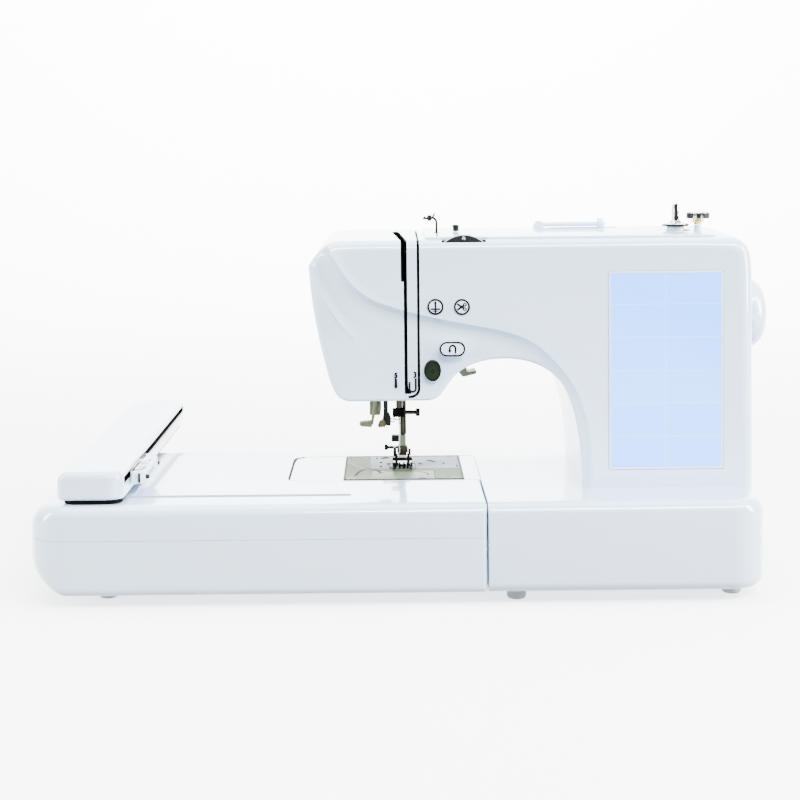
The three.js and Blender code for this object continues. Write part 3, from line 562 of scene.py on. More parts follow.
def body_outline(steps=14):
    """Head, arm and column seen from the front, anticlockwise from the column's foot."""
    right = BASE.x[1]
    left = Span("face_cover").x[0]
    points = [Vector((right, LOW)), Vector((right, 200)), Vector((right, 262))]
    curves = [
        [(right, 262), (right, 277), (right - 4, TOP), (right - 19, TOP)],
        [(-48, TOP), (-56, TOP - 0.5), (left + 5, TOP - 11), (left, TOP - 21)],
        [(left, TOP - 21), (left + 1, 240), (left + 8, 205), (left + 16, 178)],
        [(left + 16, 178), (left + 20, 165), (left + 24, HEAD_BOTTOM), (left + 35, HEAD_BOTTOM)],
        [(27, HEAD_BOTTOM), (38, HEAD_BOTTOM), (41, 165), (47, 173)],
        [(47, 173), (56, 185), (72, 191), (92, 191)],
        [(92, 191), (116, 191), (134, 181), (142, 167)],
        [(142, 167), (153, 147), (157, 115), (157, 84)],
    ]
    for curve in curves:
        start = Vector(curve[0])
        if (points[-1] - start).length > 1e-6:
            gap = start - points[-1]
            pieces = max(1, round(gap.length / 12))
            points += [points[-1] + gap * (k + 1) / pieces for k in range(pieces)]
        points += bezier(curve, steps)
    points.append(Vector((157, LOW)))
    return points


SWOOSH = smooth_line([(-60, 296), (-47, 273), (-37, 258), (-26, 248), (-14, 241), (0, 236),
                      (13, 232), (38, 226), (63, 221), (88, 216), (107, 210), (122, 201),
                      (135, 188), (147, 173), (157, 152), (163, 126), (166, 85), (166.4, 50)])
CHEEK = smooth_line([(-74, 284), (-66, 265), (-58, 244), (-46, 224), (-33, 210), (-22, 201)])


def signed_distance(places, line):
    """Distance of each place from a line, positive on its right hand side going along it, and
    how far along the line its nearest point lies, from 0 to 1."""
    best = np.full(len(places), 1e9)
    sign = np.ones(len(places))
    along = np.zeros(len(places))
    for i in range(len(line) - 1):
        a, b = np.array(line[i]), np.array(line[i + 1])
        step = b - a
        t = np.clip(((places - a) @ step) / (step @ step), 0, 1)
        offset = places - (a + t[:, None] * step)
        distance = np.hypot(offset[:, 0], offset[:, 1])
        side = -(step[0] * (places[:, 1] - a[1]) - step[1] * (places[:, 0] - a[0]))
        closer = distance < best - 1e-9
        best = np.where(closer, distance, best)
        sign = np.where(closer, np.sign(side), sign)
        along = np.where(closer, i + t, along)
    return best * sign, along / (len(line) - 1)


# Depth, steepness and reach of the swept steps, and height and width of their ridges.
SWOOSH_DEPTH, SWOOSH_STEEP, SWOOSH_REACH, SWOOSH_RIDGE, SWOOSH_WIDTH = 7.0, 5.5, 60, 2.1, 3.8
CHEEK_DEPTH, CHEEK_STEEP, CHEEK_RIDGE, CHEEK_WIDTH = 5.2, 4.5, 2.4, 3.2


def sweep_depth(places):
    """How far the front face stands back at each (x, z): two swept steps below their creases,
    each with a low ridge that fades along it."""
    places = np.array(places, float)
    below, along = signed_distance(places, SWOOSH)
    side = np.clip(below, 0, None)
    depth = SWOOSH_DEPTH * (1 - np.exp(-side / SWOOSH_STEEP)) * np.exp(-(side / SWOOSH_REACH) ** 2)
    depth -= SWOOSH_RIDGE * np.exp(-(below / SWOOSH_WIDTH) ** 2) * np.clip(1 - along * 1.6, 0.15, 1)
    beyond, along = signed_distance(places, CHEEK)
    fade = np.clip((1 - along) / 0.55, 0, 1)
    depth += CHEEK_DEPTH * (1 - np.exp(-np.clip(beyond, 0, None) / CHEEK_STEEP)) * fade
    return depth - CHEEK_RIDGE * np.exp(-(beyond / CHEEK_WIDTH) ** 2) * fade


def edge_radius(point):
    """The front edge's rounding changes round the outline: full on top, crisp below."""
    x, z = point
    if x > BASE.x[1] - 2:
        return 13.0
    top = max(0.0, min(1.0, (z - 268) / 18))
    right = max(0.0, min(1.0, (x - 262) / 30)) * top
    left = 5.0 if x < 0 and z > 180 else 3.0
    if z < 200 and x > 130:
        left = 1.6
    return left + (8.5 - left) * top + 4 * right


def body_front(depth, step):
    """The front half of head, arm and column as one solid, its face swept back in code."""
    outline = body_outline()
    radii = [max(edge_radius(p) - depth * 0.7, 0.6) for p in outline]
    for _ in range(4):
        radii = [(radii[i - 1] + 2 * r + radii[(i + 1) % len(radii)]) / 4
                 for i, r in enumerate(radii)]
    outer = inset(outline, depth) if depth else outline
    rings = []
    segments = 6
    for k in range(segments + 1):
        turn = math.pi / 2 * k / segments
        line = inset(outer, [max(r * (1 - math.cos(turn)), 1e-4) for r in radii])
        rings.append([(p, FRONT + depth + r * (1 - math.sin(turn))) for p, r in zip(line, radii)])
    bm = bmesh.new()
    rear = [bm.verts.new((p.x, SEAM, p.y)) for p in outer]
    loops = [rear]
    for ring in rings:
        back = sweep_depth([p for p, _ in ring])
        loops.append([bm.verts.new((p.x, y + b, p.y)) for (p, y), b in zip(ring, back)])
    skin_open(bm, loops)
    close_face(bm, loops[-1], FRONT + depth, step)
    bm.faces.new(rear)
    bmesh.ops.remove_doubles(bm, verts=bm.verts, dist=1e-4)
    bmesh.ops.recalc_face_normals(bm, faces=bm.faces)
    return bm


def inside(point, outline):
    """Whether a point lies inside a closed outline."""
    odd = False
    for i, a in enumerate(outline):
        b = outline[i - 1]
        if (a.y > point.y) != (b.y > point.y):
            if point.x < (b.x - a.x) * (point.y - a.y) / (b.y - a.y) + a.x:
                odd = not odd
    return odd


def close_face(bm, rim, level, step):
    """Fills the rim with a fine net that has the swept creases as its edges."""
    border = [Vector((v.co.x, v.co.z)) for v in rim]
    places = list(border)
    edges = [(i, (i + 1) % len(border)) for i in range(len(border))]
    lines = []
    for crease in (SWOOSH, CHEEK):
        line = [p for p in crease if inside(p, border)]
        lines += line
        edges += [(len(places) + i, len(places) + i + 1) for i in range(len(line) - 1)]
        places += line
    low = Vector((min(p.x for p in border), min(p.y for p in border)))
    high = Vector((max(p.x for p in border), max(p.y for p in border)))
    hard = np.array([tuple(p) for p in border + lines])
    for i in range(int((high.x - low.x) / step) + 1):
        for j in range(int((high.y - low.y) / step) + 1):
            place = low + Vector((step * (i + 0.5 * (j % 2)), step * j))
            if np.min(np.hypot(hard[:, 0] - place.x, hard[:, 1] - place.y)) < step * 0.5:
                continue
            if inside(place, border):
                places.append(place)
    made, _, faces, *_ = geometry.delaunay_2d_cdt(places, edges, [list(range(len(border)))],
                                                  1, 1e-5)
    back = sweep_depth([tuple(p) for p in made])
    verts = [bm.verts.new((p.x, level + b, p.y)) for p, b in zip(made, back)]
    for face in faces:
        bm.faces.new([verts[i] for i in face])


def body_rear(depth):
    """The rear half of head, arm and column, set inwards by depth."""
    outline = body_outline()
    outer = inset(outline, depth) if depth else outline
    return prism(outer, "y", SEAM + 0.3 if not depth else SEAM - 1, ARM_REAR - depth,
                 round_high=8.0 - depth, segments=6)


def rounded_block(x, y, z, plan, top, bottom, steps=8, corner=8):
    """A block built up in layers. plan is the four corner radii seen from above (front left,
    front right, rear right, rear left); top and bottom are edge roundings (left, right,
    front, rear)."""
    def offsets(radii, below_face):
        return [r - math.sqrt(max(r * r - (r - below_face) ** 2, 0)) if r > below_face else 0.0
                for r in radii]

    levels = []
    for radii, face, sign in ((bottom, z[0], 1), (top, z[1], -1)):
        biggest = max(max(radii), 0.01)
        turns = [math.pi / 2 * k / steps for k in range(steps + 1)]
        part = [(face + sign * biggest * (1 - math.cos(t)),
                 offsets(radii, biggest * (1 - math.cos(t)))) for t in turns]
        levels += part if sign > 0 else part[::-1]
    levels.sort(key=lambda level: level[0])
    bm = bmesh.new()
    loops = []
    for height, (left, right, front, rear) in levels:
        corners = [(x[0], y[0], 1, 1, left, front, plan[0], 180),
                   (x[1], y[0], -1, 1, right, front, plan[1], 270),
                   (x[1], y[1], -1, -1, right, rear, plan[2], 0),
                   (x[0], y[1], 1, -1, left, rear, plan[3], 90)]
        line = []
        for cx, cy, sx, sy, dx, dy, radius, start in corners:
            ra, rb = max(radius - dx, 0.02), max(radius - dy, 0.02)
            mx, my = cx + sx * (dx + ra), cy + sy * (dy + rb)
            for k in range(corner + 1):
                angle = math.radians(start + 90 * k / corner)
                line.append((mx + ra * math.cos(angle), my + rb * math.sin(angle)))
        loops.append([bm.verts.new((a, b, height)) for a, b in line])
    skin(bm, loops)
    return bm


def base_block(depth, y_high):
    """The right hand base, cut square on its left where the unit meets it."""
    bottom, low = (8.0, 8.0) if depth else (BASE.z[0] - 3.5, 9.0)
    return rounded_block((74.0 + depth, BASE.x[1] - depth), (depth, y_high - depth),
                         (bottom, DECK - depth), (2.2, 30 - depth, 24 - depth, 2.2),
                         (0.8, 13 - depth, 10 - depth, 9 - depth), (0.4, low, low, low), 10, 10)


def half_space(y):
    """A block wider than the machine, between two places along y."""
    return box((-400, 400), y, (-10, 400))


def face_holes():
    """Everything cut through the front face of the head and column."""
    screen = Span("touch_screen")
    through = (FRONT - 2, FRONT + 14)
    window = rectangle(grow(screen.x, 0.35), grow(screen.z, 0.35), 1.6)
    tools = [prism(outline, "y", *through) for outline in (window, *key_outlines(0.3).values())]
    dial = Span("tension_dial")
    notch = (dial.mid.x - 18.6, dial.mid.x + 18.6)
    tools.append(prism(rectangle(notch, (TOP - 2, TOP + 6), 0.8), "y", FRONT - 2, 70))
    tools.append(box(notch, (59.8, 70), (TOP - 6, TOP - 1)))
    line = [(20.6, TOP + 4), (20.6, 168), *arc_points(13.6, 167.6, 7, 0, -90, 12), (11.5, 160.6)]
    tools.append(stroke(line, FRONT + 12, 2.3, 14, round_ends=False))
    tools.append(box((19.7, 21.5), (60, 150), (TOP - 0.9, TOP + 2)))
    foot = [(10, 171), (11.4, 170), (12, 166.4), (14, 164.8), (14, 163), (10, 163)]
    tools.append(prism(foot, "y", FRONT - 2, FRONT + 12))
    return tools


def key_outlines(gap):
    """Outlines of the four keys on the head, grown by a gap."""
    made = {}
    for node in ("needle_button", "scissors_button", "reverse_button", "start_button"):
        span = Span(node)
        rim = 1.4 if node == "start_button" else 1.6
        half_x, half_z = span.size.x / 2 - rim + gap, span.size.z / 2 - rim + gap
        shape = stadium if node == "reverse_button" else ellipse
        made[node] = shape(span.mid.x, span.mid.z, half_x, half_z)
    return made


def winder_well(low, high):
    """The opening round the bobbin winder."""
    winder = Span("winder_arm")
    return prism(rectangle(grow(winder.x, 1.4, 5.4), grow(winder.y, 1.4), 8.4), "z", low, high)


def under_head_holes():
    """Openings under the head, for the presser lever, and for the winder."""
    lever, lamp = Span("presser_lever"), Span("lamp")
    floor = (HEAD_BOTTOM - 2, HEAD_BOTTOM + 5)
    bars = box((-34, 24), (113, SEAM + 14), floor)
    lens = box(grow(lamp.x, -1.7), grow(lamp.y, -1.7), floor)
    slot = box(grow(lever.x, 1.5), (157, ARM_REAR + 3), (148, 217))
    well = winder_well(TOP - 7, TOP + 7)
    return [bars, lens, slot, well]


def base_holes():
    """Openings for the free arm, the handwheel's hub, the switch and the inlet."""
    inlet, switch, wheel = Span("power_inlet"), Span("power_switch"), Span("handwheel")
    wall = (BASE.x[1] - 7, BASE.x[1] + 3)
    door = box((BASE.x[0] - 40, 80), (99, 192), (27, 78))
    hub = cylinder("x", wheel.mid.y, wheel.mid.z, 9, wall, 48)
    rocker = box(wall, grow(switch.y, 0.3), (switch.mid.z - 10.4, switch.mid.z + 10.4))
    socket = prism(rectangle(grow(inlet.y, 0.3), grow(inlet.z, 0.3), 2), "x", *wall)
    return [door, hub, rocker, socket]


def top_groove():
    """The fine line where the top cover meets the front shell."""
    return box((-46, 252), (62.0, 62.8), (TOP - 1.4, TOP + 2))


HEAD_MIDDLE = Vector((-5, 118, 226))


def painted_shade_in_head(place, normal):
    """Where the head is painted shade: its inside and the walls of its thread slots, black as they
    lie in shade.
    """
    # Painted shade in the groove along the top cover, the slots' upper ends, and the slit on top.
    if 61.9 < place.y < 62.9 and place.x < 252.1 and place.z > TOP - 1.5:
        return abs(normal.y) > 0.5 or place.z < TOP - 1
    if place.z > TOP - 3 and -4 < place.x < 22 and place.y < 152 and abs(normal.z) < 0.7:
        return place.y > FRONT + 2
    if 19.6 < place.x < 21.6 and 62 < place.y < 151 and place.z > TOP - 2:
        return place.z < TOP - 0.3 + CROWN * max(0, min(1, (place.y - 75) / 80))
    if not (-70 < place.x < 52 and place.z > 158):
        return False
    # Painted shade on the inside of the head, then on the walls of the slots behind the front face.
    if place.y > FRONT + 1 and (HEAD_MIDDLE - place).dot(normal) > 0 and place.y < ARM_REAR - 1:
        return True
    if not (-1.5 < place.x < 24 and place.y < FRONT + 14 and abs(normal.y) < 0.2):
        return False
    return (abs(normal.x) > 0.5 or place.z < 172) and place.y > surface_y(place.x, place.z, -0.4)


def crowned(bm):
    """The top of the arm rises a little towards the rear."""
    for vert in bm.verts:
        share = max(0.0, min(1.0, (vert.co.z - 278) / 10))
        back = max(0.0, min(1.0, (vert.co.y - 61) / 90))
        vert.co.z += CROWN * share * back * back * (3 - 2 * back)
    return bm


def make_housing():
    outer = join(body_front(0, 3.2), base_block(0, SEAM + 60))
    outer = keep(outer, half_space((-5, SEAM)))
    inner = join(body_front(WALL, 9.0), base_block(WALL, SEAM + 60))
    inner = keep(inner, half_space((-5, SEAM + 1)))
    inner = join(inner, keep(body_rear(WALL), half_space((SEAM - 1, SEAM + 0.5))))
    shell = cut(outer, inner, *face_holes(), *under_head_holes(), *base_holes(), top_groove())
    # The face shell and the front shell share one body; the thread slot is the gap between.
    upper, end = (256.9, 300), 163.0
    rear = SEAM + 1
    left_part = join(box((-100, 8.5), (0, rear), (end, 257)),
                     box((-100, 9.3), (0, rear), (140, end + 0.1)),
                     prism(((-100, 0), (6.2, 0), (6.2, 60), (-0.6, 138), (2.4, 146), (2.4, rear),
                            (-100, rear)), "z", *upper))
    right_part = join(box((11.4, 400), (-5, rear), (-5, 257)),
                      box((9.6, 12), (0, rear), (140, end + 0.1)),
                      prism(((11.4, -5), (400, -5), (400, rear), (2.7, rear), (2.7, 146),
                             (5.6, 138), (11.4, 60)), "z", *upper))
    shell_copy = shell.copy()
    # The head's inside, its slot walls and the top groove get the black painted shade.
    add_piece("face_shell", crowned(keep(shell, left_part)), "face_cover", WHITE, edge=0.25,
              dark=painted_shade_in_head)
    add_piece("front_shell", crowned(keep(shell_copy, right_part)), "front_cover", WHITE, edge=0.25,
              dark=painted_shade_in_head)


def make_slot_shade():
    """Black sheets behind the two thread slots: painted shade for their dark inside."""
    back = (FRONT + 12.6, FRONT + 13.6)
    height = (158.4, TOP - 3)
    right = box((12.0, 24.5), back, height)
    add_trim("slot_shade_right", right, "front_cover", PAINTED_SHADE, edge=0.2)
    left = join(box((-3.5, 8.0), back, height), box((7, 11.8), back, (158.4, 206)))
    left = merged(left, box((5.5, 14.5), (129, 130), (188, TOP - 3)))
    add_trim("slot_shade_left", left, "face_cover", PAINTED_SHADE, edge=0.2)


def make_rear_housing():
    rear_base = keep(base_block(0, REAR), half_space((SEAM + 0.3, 300)))
    outer = join(body_rear(0), rear_base)
    inner = join(body_rear(WALL), keep(base_block(WALL, REAR), half_space((SEAM - 1, 300))))
    vents = [box((200 + 9 * i, 204 + 9 * i), (ARM_REAR - 6, ARM_REAR + 4), (118, 158))
             for i in range(8)]
    shell = cut(outer, inner, *under_head_holes()[:3], *base_holes()[:1], *vents)
    # The head's inside gets the black painted shade.
    add_piece("rear_shell", crowned(shell), "rear_cover", WHITE, edge=0.35, dark=painted_shade_in_head)


def make_bottom_plate():
    """The floor plate, set back inside the lower edge of the base."""
    span = Span("bottom_cover")
    plate = prism(rectangle(grow(span.x, -1, -8), grow(span.y, -8), 14), "z", span.z[0] + 0.6,
                  span.z[1], round_low=0.6)
    vents = [box((110 + 9 * i, 114 + 9 * i), (70, 110), grow(span.z, 2)) for i in range(9)]
    add_piece("bottom_plate", cut(plate, *vents), "bottom_cover", WHITE, edge=0.2)


def make_top_cover():
    cover, pin, dial = Span("top_cover"), Span("spool_pin"), Span("tension_dial")
    z = (TOP + 0.3, TOP + 2)
    plate = prism(rectangle(cover.x, cover.y, 6), "z", *z, round_high=0.7)
    winder = Span("winder_arm")
    well = winder_well(TOP - 3, TOP + 5)
    notch = box((dial.mid.x - 19.5, dial.mid.x + 19.5), (60, 72.5), (TOP - 2, TOP + 5))
    tray = prism(rectangle((pin.x[0] + 12, pin.x[1] + 8), (136, 154), 5), "z", TOP + 1.3, TOP + 5)
    bm = cut(plate, well, notch, tray)
    cheeks = [slab("y", (y, y + 3), [(126, TOP + 1), (134, TOP + 1), (134, 301.5, 3),
                                     (126, 301.5, 3)]) for y in (143, 154)]
    peg = turned("z", *PEG, fillet([(0, TOP + 1), (2.6, TOP + 1), (2.2, TOP + 3), (1.8, 298),
                                    (2.4, 299), (2.2, 301), (0, 301)], 0.5), 32)
    post = turned("z", Span("winder_stop").mid.x, winder.mid.y,
                  [(0, TOP + 1), (4.2, TOP + 1), (3.2, TOP + 3), (3.2, 299.4), (0, 299.4)], 40)
    add_piece("top_plate", join(crowned(bm), *cheeks, peg, post), "top_cover", WHITE, edge=0.3)
    cap = turned("z", *PEG, fillet([(0, 296), (2.8, 296), (2.8, 296.8), (2.4, 298.2), (2.9, 299),
                                    (2.8, 301.2), (0, 301.6)], 0.3), 32)
    add_trim("peg_cap", cap, "top_cover", BLACK)


def make_free_arm():
    arm, plate = Span("free_arm_cover"), Span("needle_plate")
    block = rounded_block(arm.x, arm.y, arm.z, (12, 0.3, 0.3, 12), (1.2, 0.3, 1.2, 1.2),
                          (3, 0.3, 3, 3), 5, 8)
    room = rounded_block((arm.x[0] + 2.4, arm.x[1] + 4), grow(arm.y, -UNIT_WALL), grow(arm.z, -2.4),
                         (9, 0.3, 0.3, 9), (0.5, 0.3, 0.5, 0.5), (0.5, 0.3, 0.5, 0.5), 2, 4)
    window = box(grow(plate.x, 0.3), grow(plate.y, 0.3), (DECK - 4, DECK + 2))
    add_piece("free_arm_shell", cut(block, room, window), "free_arm_cover", WHITE, edge=0.2)
    # A black strip on the deck is painted shade in the gap at the arm's left end.
    left, rear = arm.x[0] + 0.2, arm.y[1]
    line = smooth_line([(left, arm.y[0] + 9), (left, 130), (left + 0.2, rear - 24),
                        (left + 2.6, rear - 8), (left + 8, rear - 1.5)], 8)
    add_trim("arm_end_gap_shade", prism_line(line, DECK + 0.12, 1.9, 3), "free_arm_cover", PAINTED_SHADE)


# ------------------------------------------------------------------ embroidery unit
def unit_shell():
    low, high = Span("unit_lower_cover"), Span("unit_upper_cover")
    arm = Span("free_arm_cover")
    x, y, z = low.x, low.y, (low.z[0], high.z[1])
    outer = rounded_block(x, y, z, (31, 4, 4, 31), (19, 2.5, 10, 8), (30, 3, 6, 6), 12, 10)
    inner = rounded_block(grow(x, -UNIT_WALL), grow(y, -UNIT_WALL), grow(z, -2.4), (29, 2, 2, 29),
                          (17, 1, 8, 6), (28, 1, 4, 4), 8, 8)

    def bay(wall, radius):
        """The room for the free arm, open to the right."""
        left, front, rear = arm.x[0] - 1 - wall, arm.y[0] - 0.7 - wall, arm.y[1] + 0.7 + wall
        return slab("z", (z[0] - 20, z[1] + 20), [(left, front, radius), (x[1] + 30, front),
                                                  (x[1] + 30, rear), (left, rear, radius)], 8)
    hollow = cut(inner, bay(UNIT_WALL, 12 + UNIT_WALL))
    slot = prism(rectangle((-266, -36), (34.6, 43.4), 4.3), "z", DECK - 6, DECK + 4)
    return cut(outer, bay(0, 12), hollow, slot)


def make_unit():
    low, high = Span("unit_lower_cover"), Span("unit_upper_cover")
    shell = unit_shell()
    copy = shell.copy()
    wide = (grow(low.x, 5), (-5, low.y[1] + 5))
    rod = Span("x_guide_rod")
    bosses = [soft_box((x, x + 8), (rod.mid.y - 8, rod.mid.y + 8), (low.z[0] + 1.5, 44), 1.5)
              for x in (-280, -30)]
    lower = join(keep(shell, box(*wide, (0, low.z[1]))), *bosses)
    add_piece("unit_lower_shell", lower, "unit_lower_cover", WHITE, edge=0.3)
    add_piece("unit_upper_shell", keep(copy, box(*wide, (high.z[0], 100))), "unit_upper_cover",
              WHITE, edge=0.3)


def make_carriage():
    span = Span("carriage_cover")
    x, y, z = span.x, span.y, (span.z[0] + 0.9, span.z[1])
    outer = rounded_block(x, y, z, (9, 13, 7, 17), (9, 6, 6.5, 8), (4, 1.5, 3, 2), 8, 8)
    inner = rounded_block(grow(x, -UNIT_WALL), grow(y, -UNIT_WALL), (z[0] - 6, z[1] - 2.4),
                          (7, 10.6, 5, 14), (6.6, 3.6, 4, 5.6), (0.3, 0.3, 0.3, 0.3), 5, 6)
    side_slot = prism(rectangle(grow(y, -11, -9), (98.2, 103.8), 1.6), "x", x[1] - 6, x[1] + 3)
    lip = slab("y", (y[0] + 16, y[1] - 10), [(x[1] - 1.1, 96.6), (x[1] + 3, 96.6), (x[1] + 3, 97.4),
                                             (x[1] - 1.1, 97.4)])

    # Painted shade: the shell's inside and the faces beside the side slot go black.
    def painted_shade_at(place, normal):
        inward = (Vector((sum(x) / 2, sum(y) / 2, z[0])) - place).dot(normal) > 0
        beside = place.x > x[1] - 7 and y[0] + 9 < place.y < y[1] - 7
        return inward or beside and 97.5 < place.z < 104.5 and abs(normal.x) < 0.7

    add_piece("carriage_shell", cut(outer, inner, side_slot, lip), "carriage_cover", WHITE,
              edge=0.3, dark=painted_shade_at)
    # Black sheets as painted shade: under the carriage's front and behind its side slot.
    shade_under = prism(rectangle(grow(x, -5, -2.5), grow(y, -3.5, -5), 9), "z", DECK + 0.6, z[0] + 1)
    shade_behind_slot = box((x[1] - 5.4, x[1] - 4.4), grow(y, -9, -8), (DECK + 3.5, z[1] - 3.5))
    add_trim("carriage_shade_sheets", join(shade_under, shade_behind_slot), "carriage_cover", PAINTED_SHADE, edge=0.3)
    rail = tube([(x[1] - 3.4, y[0] + 14, 101), (x[1] - 3.4, y[1] - 14, 101)], 0.9, 12)
    add_trim("carriage_rail", rail, "carriage_cover", STEEL, slot="machined_steel")


def make_hoop_holder():
    span, rider = Span("hoop_holder"), Span("carriage_cover")
    wall = rider.x[1]
    y0, y1 = span.y
    back = soft_box((-262, wall - 6), (60, 100), (89, 105), 2)
    back = cut(back, box((-252.8, -245.2), (50, 110), (80, 95.6)))
    neck = box((wall - 8, wall + 2), (62, 98), (99, 103))
    plate = slab("z", (92, 103), [(wall + 0.6, y0, 2), (-208, y0 + 6, 3), (-206, y1 - 14, 4),
                                  (-214, y1, 3), (wall + 0.6, y1, 0.6)], soft=0.6)
    pocket = soft_box((-215, -200), (62, 90), (94.5, 99), 1.5)
    slots = [box((-217.6, -216.4), (y, y + 9), (90, 110)) for y in (44, 102)]
    body = join(cut(plate, pocket, *slots), back, neck)
    add_piece("hoop_bracket", body, "hoop_holder", KEY_WHITE, edge=0.25)
    for i, y in enumerate((52.0, 108.0)):
        pin = turned("x", y, 97, fillet([(0, -214), (2, -214), (2, -206.4), (1.4, -204.6),
                                         (0, -204.5)], 0.4), 32)
        add_trim(f"hoop_pin_{i + 1}", pin, "hoop_holder", NICKEL_PAINTED_DARK, slot="chrome")
    spring = slab("z", (103.1, 103.7), [(-216.4, 46), (-209.4, 51, 1), (-208.4, 62, 2),
                                        (-210, 62.4), (-211, 52.4), (-217, 47)])
    add_trim("hoop_spring_leaf", spring, "hoop_holder", OLIVE_PAINTED_DARK, slot="chrome", edge=0.1)
    # Black strips as painted shade in the holder's gaps.
    low = (102.6, 103.2)
    gaps = [box((-218.6, -217.2), (44, 116), low), box((-216, -209), (60, 61.6), low),
            box((-216, -209), (88, 90), low)]
    gaps += [box((a, a + 1.3), (y0 + 2, y0 + 5), (93.5, 101)) for a in (-216.6, -212.8)]
    add_trim("hoop_gap_shade", merged(*gaps), "hoop_holder", PAINTED_SHADE)
    lever = Span("hoop_lever")
    hub = turned("z", -213, 76, fillet([(0, lever.z[0]), (3.6, lever.z[0]), (3.6, 106),
                                        (2.4, lever.z[1]), (0, lever.z[1])], 0.5), 40)
    grip = prism(rounded([(-215, 76), (-211, 76), (-210.6, 97, 2), (-212, 100, 1.6),
                          (-215, 99, 1.8)]), "z", lever.z[0], 105.4, round_high=0.6)
    add_piece("hoop_handle", join(grip, hub), "hoop_lever", KEY_WHITE, edge=0.2)


# ------------------------------------------------------------------ keys, dial and screen
def ring_line(points, axis_y, width, thick=0.12):
    """A flat ring on the front face, between an outline and the same outline set inwards."""
    inner = inset(points, width)
    bm = bmesh.new()
    loops = []
    for line, y in ((points, axis_y), (points, axis_y - thick), (inner, axis_y - thick),
                    (inner, axis_y)):
        loops.append([bm.verts.new((p.x, y, p.y)) for p in line])
    loops.append(loops[0])
    skin(bm, loops, caps=False)
    return bm


def stroke(points, level, width, thick=0.12, round_ends=True, axis="y"):
    """A line of even width along points on the front face, or on the deck with axis z."""
    points = [Vector(p) for p in points]
    left, right = [], []
    for i, here in enumerate(points):
        along = (points[min(i + 1, len(points) - 1)] - points[max(i - 1, 0)]).normalized()
        normal = Vector((-along.y, along.x)) * width / 2
        left.append(here + normal)
        right.append(here - normal)
    if round_ends:
        for rail in (left, right):
            rail[0] = rail[0] + (points[0] - points[1]).normalized() * width * 0.3
            rail[-1] = rail[-1] + (points[-1] - points[-2]).normalized() * width * 0.3
    return prism(right + left[::-1], axis, level - thick, level)


def arrow_head(tip, direction, size, y, thick=0.12):
    tip, direction = Vector(tip), Vector(direction).normalized()
    side = Vector((-direction.y, direction.x))
    base = tip - direction * size
    return prism([tip, base + side * size * 0.6, base - side * size * 0.6], "y", y - thick, y)


def arc_points(a, b, r, start, end, steps=16):
    return [(a + r * math.cos(math.radians(start + (end - start) * k / steps)),
             b + r * math.sin(math.radians(start + (end - start) * k / steps)))
            for k in range(steps + 1)]


def needle_sign(x, z, y):
    return [stroke([(x, z + 3.8), (x, z + 1.4)], y, 1.7),
            stroke([(x, z + 0.6), (x, z - 4.6)], y, 1.5),
            stroke([(x - 3.5, z - 1.9), (x + 3.5, z - 1.9)], y, 1.5),
            stroke([(x - 2.2, z - 3.6), (x + 2.2, z - 3.6)], y, 0.8),
            arrow_head((x, z + 5.1), (0, 1), 2.2, y)]


def scissors_sign(x, z, y):
    parts = [stroke([(x - 3.6, z + 2.3), (x + 1.6, z - 1.1)], y, 1.7),
             stroke([(x - 3.6, z - 2.3), (x + 1.6, z + 1.1)], y, 1.7)]
    for side in (1, -1):
        parts.append(ring_line(ellipse(x + 2.3, z + side * 1.8, 1.8, 1.6, 24), y, 1.1))
    return parts


def return_sign(x, z, y):
    return [stroke(arc_points(x + 0.2, z + 0.6, 2.4, 0, 180), y, 1.6),
            stroke([(x + 2.6, z + 0.6), (x + 2.6, z - 3.4)], y, 1.6),
            stroke([(x - 2.2, z + 0.6), (x - 2.2, z - 1.4)], y, 1.6),
            arrow_head((x - 2.2, z - 3.6), (0, -1), 2.8, y)]


def start_sign(x, z, y):
    return [ring_line(ellipse(x, z, 3.9, 5.3, 40), y, 0.4),
            ring_line(ellipse(x, z, 1.2, 2.0, 24), y, 0.7)]


SIGNS = {"needle_button": needle_sign, "scissors_button": scissors_sign,
         "reverse_button": return_sign, "start_button": start_sign}


def make_keys():
    for node, outline in key_outlines(0).items():
        span = Span(node)
        green = node == "start_button"
        face = span.y[0]
        behind = FRONT + float(max(sweep_depth([(p.x, p.y) for p in outline]))) + WALL + 0.4
        cap = prism(outline, "y", face, behind + 0.2, round_low=0.25, segments=3)
        bezel = inset(outline, -1.2)
        flange = prism(bezel, "y", behind, behind + 1.4)
        add_piece(node.replace("button", "key"), join(cap, flange), node,
                  GREEN if green else KEY_WHITE, sharp=40)
        signs = SIGNS[node](span.mid.x, span.mid.z, face + 0.03)
        ring = ring_line(inset(outline, 0.05), face + 0.16, 1.5, 0.3)
        add_trim(node.replace("button", "sign"), merged(*signs, ring), node, MOSS
                 if green else PRINT)


def surface_y(x, z, lift=0.05):
    """The y of the swept front face at (x, z), just proud of it."""
    return FRONT + float(sweep_depth([(x, z)])[0]) - lift


def wrap_on_front(bm, level):
    """Lays flat print drawn at y = level onto the swept front."""
    for vert in bm.verts:
        lift = 0.4 if vert.co.y < level - 0.05 else -0.3
        vert.co.y = surface_y(vert.co.x, vert.co.z, lift)
    return bm


